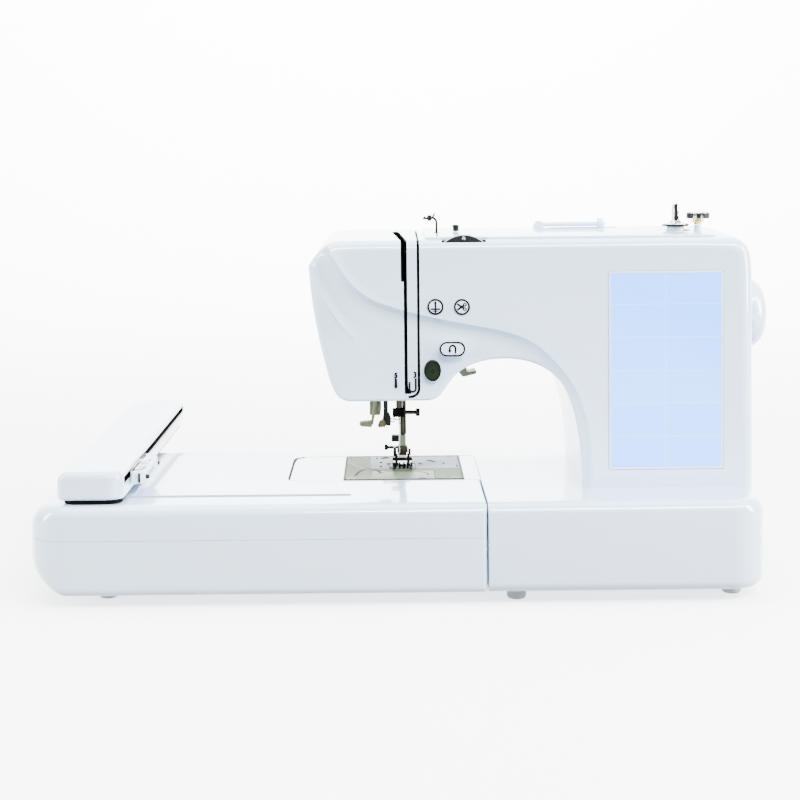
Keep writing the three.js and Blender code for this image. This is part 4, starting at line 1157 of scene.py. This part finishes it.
def make_thread_marks():
    """Threading signs printed beside the slots: a turn mark, a bar and plain numerals."""
    level = FRONT
    turn = [(12.7, 172.6), (12.7, 170), (12.7, 167.4),
            *arc_points(15.3, 167.4, 2.6, 180, 360, 10)[1:], (17.9, 171), (17.9, 175.4)]
    three = [*arc_points(17.0, 179.9, 1.0, 120, -90, 6), *arc_points(17.0, 177.9, 1.0, 90, -120, 6)]
    right = [stroke(turn, level, 1.75), stroke(three, level, 1.3)]
    five = [(2.1, 180.4), (0.7, 180.4), (0.6, 178.9), *arc_points(1.2, 177.9, 1.0, 70, -140, 7)]
    left = [stroke([(1.3, 175.4), (1.3, 171), (1.3, 169.2)], level, 2.2),
            arrow_head((1.3, 167.0), (0, -1), 3, level), stroke(five, level, 1.4)]
    for name, shapes, node in (("thread_marks_left", left, "face_cover"),
                               ("thread_marks_right", right, "front_cover")):
        add_trim(name, wrap_on_front(merged(*shapes), level), node, PRINT)


def make_screen():
    span = Span("touch_screen")
    face = span.y[0]
    pane = prism(rectangle(grow(span.x, -1.6), grow(span.z, -1.6), 1.2), "y", face + 0.5, face + 4,
                 round_low=0.3)
    frame_out = rectangle(span.x, span.z, 1.5)
    rim = boolean(prism(frame_out, "y", face, face + 4, round_low=0.5),
                  prism(rectangle(grow(span.x, -1.7), grow(span.z, -1.7), 1.2), "y", face - 2,
                        face + 9))
    add_piece("display_glass", pane, "touch_screen", DISPLAY)
    add_trim("display_frame", rim, "touch_screen", KEY_WHITE, slot="button_white", edge=0.1)
    board = soft_box((184, 268), (58.8, 67), (104, 258), 1.5)
    add_trim("display_board", board, "touch_screen", BLACK)


def make_dial():
    span = Span("tension_dial")
    x, z = span.mid.x, span.z[1] - span.size.x / 2
    radius = span.size.x / 2 + 0.7
    y0, y1 = span.y[0], span.y[0] + 6
    wheel = prism(fluted(x, z, radius, 0.35, 60), "y", y0, y1, round_low=0.4, round_high=0.4,
                  segments=2)
    hub = cylinder("y", x, z, 5, (y1 - 1, span.y[1]), 40)
    add_piece("dial_wheel", join(wheel, hub), "tension_dial", BLACK, sharp=40)
    top = z + radius
    # The numeral is print; the white arc along the rim's top is a painted highlight.
    marks = [stroke([(x - 0.2, top - 1.4), (x - 1.4, top - 3.6), (x + 1.4, top - 3.6)],
                     y0 + 0.04, 0.55, 0.1),
              stroke([(x + 0.6, top - 2.2), (x + 0.6, top - 4.6)], y0 + 0.04, 0.55, 0.1),
              stroke(arc_points(x, z, radius - 0.5, 50, 130, 40), y0 + 0.04, 0.6, 0.1)]
    add_trim("dial_print_and_highlight", merged(*marks), "tension_dial", KEY_WHITE, slot="button_white")


def make_dial_notch_shade():
    """Painted shade: a black sheet at the bottom of the dial's notch."""
    dial = Span("tension_dial")
    back = box((dial.mid.x - 18.2, dial.mid.x + 18.2), (67.4, 68.6), (TOP - 5.6, TOP - 0.4))
    add_trim("dial_notch_shade", back, "front_cover", PAINTED_SHADE, edge=0.2)


def make_handwheel():
    span = Span("handwheel")
    y, z, face = span.mid.y, span.mid.z, span.x[1]
    r = span.size.z / 2
    profile = [(0, span.x[0]), (7, span.x[0]), (7, 301), (r - 1.4, 301.2), (r - 0.4, 302),
               (r, 303.4), (r, 311.8), (r - 0.8, 314.4), (r - 2.8, 318), (r - 5, 320.6),
               (r - 8.6, 323), (r - 12.6, 324.6), (r - 18, 325.7), (r - 24, face), (0, face)]
    wheel = turned("x", y, z, fillet(profile, 1.2, 3), 96)
    grooves = []
    for i in range(36):
        angle = 2 * math.pi * i / 36
        a, b = y + r * math.cos(angle), z + r * math.sin(angle)
        grooves.append(turned("x", a, b, [(0, 304.4), (0.3, 304.6), (0.75, 306), (0.75, 310),
                                          (0.3, 311.4), (0, 311.6)], 8))
    wheel = boolean(wheel, merged(*grooves))
    add_piece("handwheel_rim", wheel, "handwheel", WHITE, sharp=30)


# ------------------------------------------------------------------ needle plate and sewing area
def make_needle_plate():
    span = Span("needle_plate")
    z = (DECK - 2, DECK)
    through = (DECK - 4, DECK + 2)
    plate = prism(rectangle(span.x, span.y, 2), "z", *z, round_high=0.3, segments=3)
    lid = Span("bobbin_cover")
    tools = [prism(rectangle(grow(lid.x, 0.3), grow(lid.y, 0.3), 5), "z", *through)]
    feed = ((-4.6, 0.6, 137, 166), (13.4, 18.6, 137, 166), (4.4, 9.6, 155, 166))
    for x0, x1, y0, y1 in feed:
        tools.append(prism(rectangle((x0, x1), (y0, y1), 0.8, 4), "z", *through))
    needle = Span("needle")
    tools.append(prism(ellipse(needle.mid.x, needle.mid.y, 3.6, 1.6, 32), "z", *through))
    screws = [(-38, 103), (52, 103), (-38, 190), (52, 190)]
    tools.append(merged(*[turned("z", x, y, [(0, through[0]), (3, through[0]), (3, DECK - 0.1),
                                             (3.5, DECK + 0.6), (0, DECK + 0.6)], 32)
                          for x, y in screws]))
    tools.append(box((-21.6, -21.1), grow(span.y, 1), (DECK - 0.5, DECK + 1)))
    tools.append(prism(((-43.5, 171.4), (-43.5, 170.7), (-22, 134.8), (-22, 135.5)), "z",
                       DECK - 0.4, DECK + 1))
    openings = [tool.copy() for tool in tools[:5]]
    add_piece("stitch_plate", cut(plate, *tools), "needle_plate", PLATE, sharp=40)
    inlay = slab("z", (DECK - 0.2, DECK + 0.06), [(span.x[0] + 0.8, span.y[0] + 0.8, 1.4),
                                                  (span.x[1] - 0.8, span.y[0] + 0.8, 1.4),
                                                  (span.x[1] - 0.8, 144), (-21.9, 144),
                                                  (-21.9, span.y[1] - 0.8), (span.x[0] + 0.8,
                                                                             span.y[1] - 0.8, 1.4)])
    scratch = prism(((-42.5, 171.8), (-42.5, 168.4), (-22.5, 134.4), (-22.5, 137.8)), "z", DECK - 1,
                    DECK + 1)
    holes = merged(*[cylinder("z", x, y, 3.6, (DECK - 1, DECK + 1), 24) for x, y in screws])
    add_trim("plate_inlay", cut(inlay, scratch, holes, *openings), "needle_plate", SAND, slot=None)
    rim = [box(span.x, (span.y[0] - 0.3, span.y[0] + 1.4), (DECK - 0.3, DECK + 0.8)),
           box(span.x, (span.y[1] - 0.7, span.y[1]), (DECK - 0.3, DECK + 0.5))]
    rim += [box((x, x + 1.6), span.y, (DECK - 0.3, DECK + 0.3))
            for x in (span.x[0], span.x[1] - 1.6)]
    add_trim("plate_border", merged(*rim), "needle_plate", MUD, slot=None, edge=0.1)
    for i, (x, y) in enumerate(screws):
        head = turned("z", x, y, fillet([(0, DECK - 2.6), (2.7, DECK - 2.6), (2.7, DECK - 0.5),
                                         (1.4, DECK - 0.1), (0, DECK)], 0.4), 32)
        head = cut(head, box((x - 3, x + 3), (y - 0.35, y + 0.35), (DECK - 0.8, DECK + 1)))
        add_trim(f"plate_screw_{i + 1}", head, "needle_plate", OLIVE_PAINTED_DARK, slot=None)
    level = (DECK - 0.05, DECK + 0.09)
    dabs = [(-16.3, 190, 2.2), (-12.4, 170, 2.4), (-12.4, 152, 2.2), (-5.5, 163, 3.2),
            (23.2, 163, 3.2), (44.3, 163, 1.8), (56, 152, 2)]
    lines = [prism(rectangle((x - wide / 2, x + wide / 2), (y - 3.4, y + 3.4), 0.9), "z", *level)
             for x, y, wide in dabs]
    arrows = [[(-11.6, 187), (-8, 193), (-6, 188)], [(29.5, 179), (33, 176), (37, 171)]]
    swirl = smooth_line([(-35, 112), (-31, 131), (-25, 141), (-17, 138), (-12, 125)], 8)
    for path, wide in ((smooth_line(arrows[0], 5), 4.8), (smooth_line(arrows[1], 5), 5.2),
                       (swirl, 2.6)):
        lines.append(prism_line(path, level[1], wide, level[1] - level[0]))
    add_trim("plate_marks", merged(*lines), "needle_plate", PRINT)


def make_bobbin_cover():
    span = Span("bobbin_cover")
    lid = prism(rectangle(span.x, span.y, 4.7), "z", *span.z, round_high=0.4, segments=3)
    grip = prism(rectangle((20, 27), (99, 103), 1.6), "z", DECK - 0.6, DECK + 1)
    add_piece("bobbin_window", cut(lid, grip), "bobbin_cover", CLEAR, sharp=40)
    path = smooth_line([(-15, 121), (-8, 129), (6, 131.6), (20, 129.4), (28, 122), (29, 113)], 6)
    bm = prism_line(path, span.z[1] + 0.02, 1.5)
    add_trim("bobbin_path_mark", bm, "bobbin_cover", PRINT)


def prism_line(points, z, width, thick=0.08):
    """A line of even width along points (x, y) on the deck."""
    return stroke(points, z, width, thick, round_ends=False, axis="z")


def bar(node, sides=48, chamfer=0.5):
    """A polished round bar along z, from its CAD box."""
    span = Span(node)
    r = span.size.x / 2
    profile = [(0, span.z[0]), (r - chamfer, span.z[0]), (r, span.z[0] + chamfer),
               (r, span.z[1] - chamfer), (r - chamfer, span.z[1]), (0, span.z[1])]
    add_piece(node + "_rod", turned("z", span.mid.x, span.mid.y, profile, sides), node, NICKEL_PAINTED_DARK)


def thumb_screw(node, name, head_at_low):
    """A knurled screw along x, from its CAD box."""
    span = Span(node)
    r = span.size.z / 2
    low, high = span.x
    if not head_at_low:
        profile = [(0, low), (1.8, low), (1.8, 19), (2.4, 19), (r, 19.4), (r, 22.4),
                   (r - 0.7, high), (0, high)]
        head = (19.2, 22.6)
    else:
        profile = [(0, low), (r - 0.5, low), (r, low + 0.5), (r, -6.4), (r - 0.6, -6),
                   (1.3, -5.8), (1.3, high), (0, high)]
        head = (low + 0.3, -6.2)
    screw = turned("x", span.mid.y, span.mid.z, profile, 60)
    grooves = [cylinder("x", span.mid.y + r * math.cos(a), span.mid.z + r * math.sin(a), 0.28,
                        grow(head, 1), 6) for a in (2 * math.pi * k / 18 for k in range(18))]
    slot = box((high - 0.8, high + 1) if not head_at_low else (low - 1, low + 0.8),
               (span.mid.y - 0.4, span.mid.y + 0.4), grow(span.z, 1))
    add_piece(name, cut(screw, merged(*grooves), slot), node, NICKEL_PAINTED_DARK, sharp=35)


def make_needle_group():
    bar("needle_bar")
    bar("presser_bar")
    needle, clamp = Span("needle"), Span("needle_clamp")
    x, y = needle.mid.x, needle.mid.y
    profile = [(0, 90), (0.12, 90.5), (0.36, 93), (0.46, 97), (0.46, 121.6), (0.8, 123.6),
               (0.8, 133.6), (0, 133.6)]
    point = turned("z", x, y, profile, 24)
    eye = box((x - 0.16, x + 0.16), (y - 2, y + 2), (93.6, 95.4))
    scarf = box((x - 0.14, x + 0.14), (y - 2, y - 0.3), (95.8, 121))
    add_piece("needle_shaft", cut(point, eye, scarf), "needle", CHROME, sharp=40)
    block = slab("z", (129, 136), [(clamp.x[0], clamp.y[0], 1.2), (clamp.x[1], clamp.y[0], 0.8),
                                   (clamp.x[1], clamp.y[1], 0.8), (clamp.x[0], clamp.y[1], 1.2)], 5,
                 soft=0.5, segments=3)
    bore = cylinder("z", x, y, 1.1, (127, 134), 20)
    split = box((clamp.x[0] - 1, x - 1.3), (y - 0.3, y + 0.3), (125, 140))
    # The clamp block is painted near black for dark reflections.
    add_piece("clamp_block", cut(block, bore, split), "needle_clamp", STEEL_PAINTED_BLACK, sharp=40)
    hook = tube([(x - 4.6, 142.8, 129.4), (x - 4.8, 142.4, 127.8), (x - 3.4, 142, 126.9),
                 (x - 1.2, 142, 126.9), (x + 0.6, 142.6, 127.5)], 0.42, 10)
    add_trim("clamp_thread_guide", hook, "needle_clamp", NICKEL_PAINTED_DARK, slot=None)
    thumb_screw("needle_clamp_screw", "clamp_screw_head", False)


def make_take_up():
    span = Span("take_up_lever")
    line = [(118, 240), (124, 249), (96, 268.4, 20), (68, 285.2, 3), (59.4, 284.6, 2),
            (58.8, 277.2, 2.4), (64, 274.6, 4), (92, 258, 14)]
    thin = (span.mid.x - 0.5, span.mid.x + 0.5)
    arm = slab("x", thin, line, 5, soft=0.2, segments=2)
    hub = cylinder("x", 120, 245, 6.4, thin, 40)
    eye = cylinder("x", 63, 280.4, 1.3, (8, 12), 24)
    slit = box((8, 12), (55, 63), (279.9, 280.7))
    # The arm is painted near black as shade inside the thread slot.
    add_piece("take_up_arm", cut(join(arm, hub), eye, slit), "take_up_lever", STEEL_PAINTED_BLACK, sharp=40)


def make_presser():
    holder = Span("foot_holder")
    x0, x1 = holder.x
    body = slab("y", (152.4, 166), [(x0, 101, 0.8), (x1, 101, 0.8), (x1, holder.z[1], 1.4),
                                    (x0, holder.z[1], 1.4)], 4, soft=0.8, segments=3)
    latch = box((x0 + 1.8, x1 - 1.8), (151.9, 153), (103.4, 106.2))
    add_piece("holder_block", join(body, latch), "foot_holder", IVORY, edge=0.15)
    shank = slab("x", (x0 - 0.6, x1 + 0.6), [(153, 92.6, 2), (160, 90.6, 2), (160, 101.2),
                                             (154, 101.2)], 4, soft=0.3, segments=2)
    collar = slab("y", (152.8, 162), [(x0 - 1.4, 94.6, 1), (x1 + 2, 94.6, 1.6),
                                      (x1 + 1.4, 100.8, 1), (x0 - 0.8, 100.8, 1)], 4, soft=0.6,
                  segments=3)
    add_trim("holder_shank", join(shank, collar), "foot_holder", OLIVE_PAINTED_DARK, slot="machined_steel",
             edge=0.15)
    knob = soft_box((x0 - 6.4, x0 + 0.2), (154.4, 161), (104.6, 110.4), 0.9)
    ribs = [box((x0 - 7, x0 - 0.4), (153, 155), (z, z + 0.5)) for z in (105.8, 107.2, 108.6)]
    add_trim("holder_side_block", cut(knob, *ribs), "foot_holder", BLACK)
    ears = [soft_box((-1.2, 1.6), (154.6, 159), (91.6, 99.6), 0.5),
            soft_box((12.4, 14.6), (154.6, 159), (92.4, 98), 0.5)]
    add_trim("holder_ears", merged(*ears), "foot_holder", NICKEL_PAINTED_DARK, slot="machined_steel")
    thumb_screw("foot_screw", "holder_screw_head", True)
    make_foot()


def make_foot():
    foot = Span("presser_foot")
    x0, x1 = foot.x
    z0 = foot.z[0]
    through = (z0 - 2, z0 + 9)
    side = [(135, z0 + 5.4, 1), (140.4, z0, 3), (166, z0, 2), (166, z0 + 1.9, 0.6),
            (142.6, z0 + 1.9, 4), (136.6, z0 + 6.8, 0.8)]
    sole = slab("x", (x0, x1), side, 5, soft=0.3, segments=2)
    notches = [slab("z", through, [(a, 130), (a + wide, 130), (a + wide, y, 0.6), (a, y, 0.6)])
               for a, wide, y in ((1.4, 2.2, 157), (5, 2.2, 152), (9, 1.5, 152), (12.5, 1.5, 157))]
    corner = [slab("z", through, [(x0 - 2, 134), (x0 + 1.6, 134), (x0 - 2, 142)]),
              slab("z", through, [(x1 + 2, 134), (x1 + 2, 142), (x1 - 1.6, 134)])]
    needle = Span("needle")
    hole = prism(rectangle((needle.mid.x - 1.8, needle.mid.x + 2.4), (144.6, 149.4), 0.6), "z",
                 *through)
    sole = cut(sole, *notches, *corner, hole)
    cheeks = [slab("x", (a, a + 2.4), [(151.6, z0 + 1), (160.6, z0 + 1), (159.6, 93.6, 2),
                                       (153.6, 93.6, 2)]) for a in (0.4, 11.2)]
    pin = cylinder("x", 156.5, 88.6, 1.5, grow(foot.x, -0.2), 24)
    add_piece("zigzag_foot", join(sole, *cheeks, pin), "presser_foot", NICKEL_PAINTED_DARK, edge=0.12,
              sharp=40)


def make_presser_lever():
    span = Span("presser_lever")
    x0, x1 = span.x
    side = [(162.4, 198), (165.6, 168, 6), (165.2, 165, 2.4), (173.4, 164, 3), (173.4, 198)]
    arm = slab("x", (x0, x0 + 6), side, 6, soft=0.6, segments=3)
    hub = cylinder("x", 168, 197, 6, span.x, 40)
    tip = prism(rounded([(x0 - 3.4, 168.6, 1), (x0 + 2.4, 160.8, 3), (x1 + 4, 163.8, 1.2),
                         (x1 + 4, 167, 1.2), (x0 + 7, 165.4, 2), (x0 + 5, 169, 1)], 5),
                "y", 164.6, 188, round_low=0.8, round_high=2.4, segments=4)
    add_piece("lifter_arm", join(arm, hub, tip), "presser_lever", CREAM, sharp=40)


def make_threader():
    grip = slab("y", (117, 125), [(-31, 125.4, 2.4), (-20, 124.4, 1.4), (-18.8, 129.6),
                                  (-22, 129.8, 3), (-30.6, 129.2, 1.6)], 5, soft=0.7)
    stem = prism(((-20.9, 126.6), (-18.7, 126.6), (-14.4, 150), (-13.6, 196), (-17.4, 196),
                  (-17.4, 150)), "y", 118.2, 122.2, round_low=0.4, round_high=0.4, segments=2)
    bridge = box((-19, -6), (118.4, 122), (190, 196))
    arm = box((-9.6, -6), (118.4, 156), (190, 196))
    add_piece("threader_lever", join(grip, stem, bridge, arm), "threader", CREAM, sharp=40)
    shaft = box((-9.6, -5.6), (152.4, 155), (130, 191))
    head = slab("y", (150.6, 156), [(-11.2, 121.4, 0.8), (-10.4, 119.9, 0.6), (-3.2, 119.7, 0.8),
                                    (-2.8, 126, 0.8), (-4.6, 131.5, 0.8), (-9.4, 131.5, 0.8),
                                    (-10.2, 127.6, 0.8)], 4, soft=0.4, segments=2)
    mouth = prism(((-11.4, 122), (-8.2, 126.8), (-5, 122), (-8.2, 124.2)), "y", 149, 151.4)
    head = cut(head, mouth)
    hook = slab("y", (143.6, 146.6), [(-14.6, 121.4, 0.8), (-12.8, 125.2, 0.8), (-9.6, 126.4, 0.6),
                                      (-7.8, 123.4), (-8.4, 120.2, 0.4), (-13.6, 119.8, 0.6)],
                soft=0.3)
    hook = merged(hook, box((-9.8, -8.4), (146.4, 151), (121, 123.6)))
    add_trim("threader_hook_guard", hook, "threader", OLIVE_PAINTED_DARK, slot="machined_steel")
    add_trim("threader_head", join(head, shaft), "threader", BLACK, sharp=40)
    prongs = [tube([(-5, 153.4, z), (-2, 153.2, z + dz * 0.4), (1, 153.0, z + dz)], 0.42, 10)
              for z, dz in ((123.0, 0.1), (126.0, -1.2))]
    add_trim("threader_prongs", merged(*prongs), "threader", NICKEL_PAINTED_DARK, slot="chrome")


def make_buttonhole_lever():
    span = Span("buttonhole_lever")
    tab = slab("y", span.y, [(span.x[0], 130, 1.4), (span.x[1] - 1, 130, 1.2),
                             (span.x[1], 136, 1.5), (span.x[1], 142), (span.x[0], 142, 0.8)], 5,
               soft=0.7, segments=3)
    post = soft_box((-20.4, -13), (150, 156), (136, span.z[1]), 0.8)
    rib = box((-17.4, -16.4), (146.6, 152), (132.5, 160))
    add_piece("buttonhole_tab", join(tab, post, rib), "buttonhole_lever", CREAM, sharp=40)


# ------------------------------------------------------------------ top of the arm
def make_winder():
    arm, spindle, stop = Span("winder_arm"), Span("winder_spindle"), Span("winder_stop")
    x, y = arm.mid.x, arm.mid.y
    collar = [(3.4, arm.z[0]), (7.6, arm.z[0]), (7.6, arm.z[1] - 1), (6.8, arm.z[1]),
              (3.4, arm.z[1]), (3.4, arm.z[0])]
    add_piece("winder_collar", turned("z", x, y, collar, 56), "winder_arm", WHITE)
    r = spindle.size.x / 2
    z0, z1 = spindle.z
    profile = [(0, z0), (3, z0), (3, 298.8), (r - 0.8, 299), (r, 299.6), (r, 300.6), (r - 0.8, 301),
               (6, 301.4), (4.6, 303), (3.3, 304), (3.1, 308), (2.6, 308.4), (2.6, 309.2),
               (3.1, 309.6), (3.1, 315.6), (2.6, 317.2), (1.5, z1), (0, z1)]
    bm = turned("z", x, y, fillet(profile, 0.5, 3), 64)
    add_piece("winder_shaft", bm, "winder_spindle", CHROME, sharp=35)
    spring = slab("y", (y - 3.8, y - 2.4), [(x - 1.2, 303.6), (x + 1.2, 303.6),
                                            (x + 1.2, 317.4, 0.8), (x - 1.2, 317.4, 0.8)])
    # shade is a black disc under the seat: a painted shadow.
    shade = turned("z", x, y, [(3.2, 298.7), (10.8, 298.7), (11.6, 299.3), (11.6, 300.3),
                               (10.8, 300.8), (3.2, 300.8), (3.2, 298.7)], 64)
    add_trim("winder_spring_and_shadow", merged(spring, shade), "winder_spindle", BLACK)
    sx, sy = stop.mid.x, stop.mid.y
    base = turned("z", sx, sy, fillet([(0, stop.z[0]), (3.4, stop.z[0]), (3.4, 301.8), (5.6, 302.2),
                                       (5.6, 303.4), (4.6, 303.8), (4.6, 305.2), (0, 305.2)], 0.3),
                  48)
    add_trim("winder_stop_base", base, "winder_stop", BRASS, slot="brass")
    knob = prism(fluted(sx, sy, stop.size.x / 2, 0.25, 40), "z", 305, stop.z[1], round_low=0.5,
                 round_high=0.8, segments=3)
    add_piece("winder_stop_knob", knob, "winder_stop", CHROME, sharp=40)
    pads = []
    for start, wide in ((195, 40), (255, 18), (285, 66), (20, 60), (110, 50)):
        arc = arc_points(sx, sy, stop.size.x / 2 + 0.12, start, start + wide, 12)
        back = arc_points(sx, sy, stop.size.x / 2 - 1.5, start + wide, start, 12)
        pads.append(prism(arc + back, "z", 305.4, stop.z[1] - 0.6))
    add_trim("winder_stop_grips", merged(*pads), "winder_stop", BLACK)


def make_thread_guide():
    """A bent wire stand with a small pair of tension discs."""
    span = Span("thread_guide")
    x, y, z = 38.0, 110.0, span.z[1] - 1.6
    top = TOP + 2.3
    base = turned("z", x, y, fillet([(0, top), (4, top), (4, top + 1.2), (1.6, top + 2.2),
                                     (0, top + 2.3)], 0.5), 40)
    add_piece("guide_base", base, "thread_guide", NICKEL_PAINTED_DARK)
    line = smooth_line([(x, y, top + 1), (x, y, z - 5), (x - 0.4, y, z - 2.4), (x - 3.4, y, z),
                        (26.2, y, z - 0.6)], 5)
    arm = smooth_line([(x - 3.4, y, z), (x - 2.4, y, z + 2.2), (x - 1.4, y, z + 4)], 4)
    add_trim("guide_wire", merged(tube(line, 1.0, 12), tube(arm, 0.8, 10)), "thread_guide", NICKEL_PAINTED_DARK,
             slot=None)
    discs = merged(*[turned("x", y, z, fillet(
        [(0, a), (1.6, a + 0.1 * s), (3.2, a + 0.4 * s), (3.7, a + 1.2 * s), (3.2, a + 0.8 * s),
         (0, a + 0.6 * s)], 0.2), 40) for a, s in ((31.6, -1), (32.2, 1))])
    knob = turned("x", y, z, fillet([(0, 26.6), (1.5, 26.7), (1.5, 28.4), (0, 28.5)], 0.3), 24)
    face = turned("y", 31.9, z, fillet([(0, y - 2.4), (2, y - 2.4), (2.4, y - 2), (2.4, y + 2),
                                        (0, y + 2)], 0.3), 32)
    add_trim("guide_discs", merged(discs, knob, face), "thread_guide", BLACK)


def make_spool_pin():
    span = Span("spool_pin")
    y, z = 150.0, 299.5
    profile = [(0, 128), (1.6, 128), (2, 128.6), (2, 182.4), (5, 182.8), (5.4, 183.6),
               (5.4, 186.4), (4.6, 187.4), (2.6, 188.6), (0, span.x[1])]
    pin = turned("x", y, z, fillet(profile, 0.4, 3), 48)
    hub = cylinder("y", 130, z, 3.4, (146.3, 153.7), 40)
    add_piece("spool_rod", join(pin, hub), "spool_pin", WHITE, sharp=35)


def make_power_switch():
    span = Span("power_switch")
    x, z = span.mid.x, span.mid.z
    r = span.size.z / 2
    barrel = cylinder("y", x, z, r, span.y, 64)
    dip = cylinder("y", x + 22, z + 3, 13.6, grow(span.y, -1), 64)
    add_piece("switch_rocker", cut(barrel, dip), "power_switch", BLACK, edge=0.3, sharp=40)
    mark = box((x + r - 1.5, x + r - 0.2), (span.mid.y - 0.4, span.mid.y + 0.4), (z - 7, z - 4))
    add_trim("switch_mark", mark, "power_switch", KEY_WHITE, slot="button_white")


def make_feet():
    for node in BODY_OF:
        if "_foot_" not in node:
            continue
        span = Span(node)
        r = span.size.x / 2
        top = span.z[1]
        profile = [(0, 0.6), (3.4, 0.6), (3.8, 0), (6.8, 0), (r, 1.6), (r, top - 1.4), (r - 1, top),
                   (0, top)]
        add_piece(node + "_pad", turned("z", span.mid.x, span.mid.y, fillet(profile, 0.6, 3), 48),
                  node, FOOT)


def dress_cad_nodes():
    for node, material in CAD_LOOK.items():
        thing = frame["nodes"][node]
        if not thing.material_slots:
            thing.data.materials.append(material)
        for place in thing.material_slots:
            place.material = material


# ------------------------------------------------------------------ stage, light and camera
def make_stage():
    material, _, shader = new_material("pale_floor", (0.92, 0.92, 0.93), 0.8)
    set_inputs(shader, Emission_Color=(1, 1, 1, 1), Emission_Strength=2.4)
    width, front, back, height, bend = 9.0, -9.0, 2.6, 4.0, 1.2
    line = [(front, 0.0), (0, 0.0), (back - bend, 0.0)]
    line += [(back - bend + bend * math.sin(math.radians(a)),
              bend - bend * math.cos(math.radians(a))) for a in range(10, 91, 10)]
    line.append((back, height))
    bm = bmesh.new()
    rows = [[bm.verts.new((x, y, z)) for x in (-width, width)] for y, z in line]
    for first, second in zip(rows, rows[1:]):
        bm.faces.new((first[0], first[1], second[1], second[0]))
    floor = to_object(bm, "floor")
    floor.data.materials.append(material)
    floor.data.shade_smooth()
    floor.visible_diffuse = False


def area_light(name, place, target, size, watts):
    data = bpy.data.lights.new(name, "AREA")
    data.shape = "RECTANGLE"
    data.size, data.size_y = size
    data.energy = watts
    lamp = bpy.data.objects.new(name, data)
    lamp.location = place
    lamp.rotation_euler = (Vector(target) - Vector(place)).to_track_quat("-Z", "Y").to_euler()
    bpy.context.scene.collection.objects.link(lamp)


def make_light():
    world = bpy.data.worlds.new("studio")
    world.use_nodes = True
    set_inputs(world.node_tree.nodes["Background"], Color=(0.91, 0.955, 1.0, 1), Strength=0.8)
    bpy.context.scene.world = world
    centre = (0, 0, 0.15)
    for name, place, target, size, watts in (("overhead", (-0.1, 0.5, 2.4), (0, 0.3, 0), (3.2, 1.6),
                                              160), ("key", (0.9, -1.8, 2.1), centre, (2.6, 0.4),
                                                     255), ("left_strip", (-2.0, -0.5, 0.8), centre,
                                                            (0.5, 1.5), 90), ("right_strip",
                                                                              (2.0, -0.5, 0.8),
                                                                              centre, (0.5, 1.5),
                                                                              150), ("backdrop",
                                                                                     (0, 1.5, 1.9),
                                                                                     (0, 3.6, 0.6),
                                                                                     (3.4, 0.8),
                                                                                     460)):
        area_light(name, place, target, size, watts)


def make_camera():
    """The viewpoint: in front, above the arm's top, a little left of the middle."""
    data = bpy.data.cameras.new("camera")
    camera = bpy.data.objects.new("camera", data)
    bpy.context.scene.collection.objects.link(camera)
    data.lens = 67.5
    data.shift_x = 0.017
    data.shift_y = -0.2015
    pitch, roll = 3.0, -0.586
    camera.location = ORIGIN + Vector((-0.0054, -1.186, 0.358))
    camera.rotation_euler = (Matrix.Rotation(math.radians(90 - pitch), 4, "X")
                             @ Matrix.Rotation(math.radians(roll), 4, "Z")).to_euler()
    bpy.context.scene.camera = camera


for make in (make_camera, make_stage, make_light, dress_cad_nodes, make_housing, make_rear_housing,
             make_bottom_plate, make_slot_shade, make_top_cover, make_free_arm, make_unit,
             make_carriage, make_hoop_holder, make_keys, make_thread_marks, make_screen, make_dial,
             make_dial_notch_shade, make_handwheel, make_needle_plate, make_bobbin_cover,
             make_needle_group, make_take_up, make_presser, make_presser_lever, make_threader,
             make_buttonhole_lever, make_winder, make_thread_guide, make_spool_pin,
             make_power_switch, make_feet):
    make()
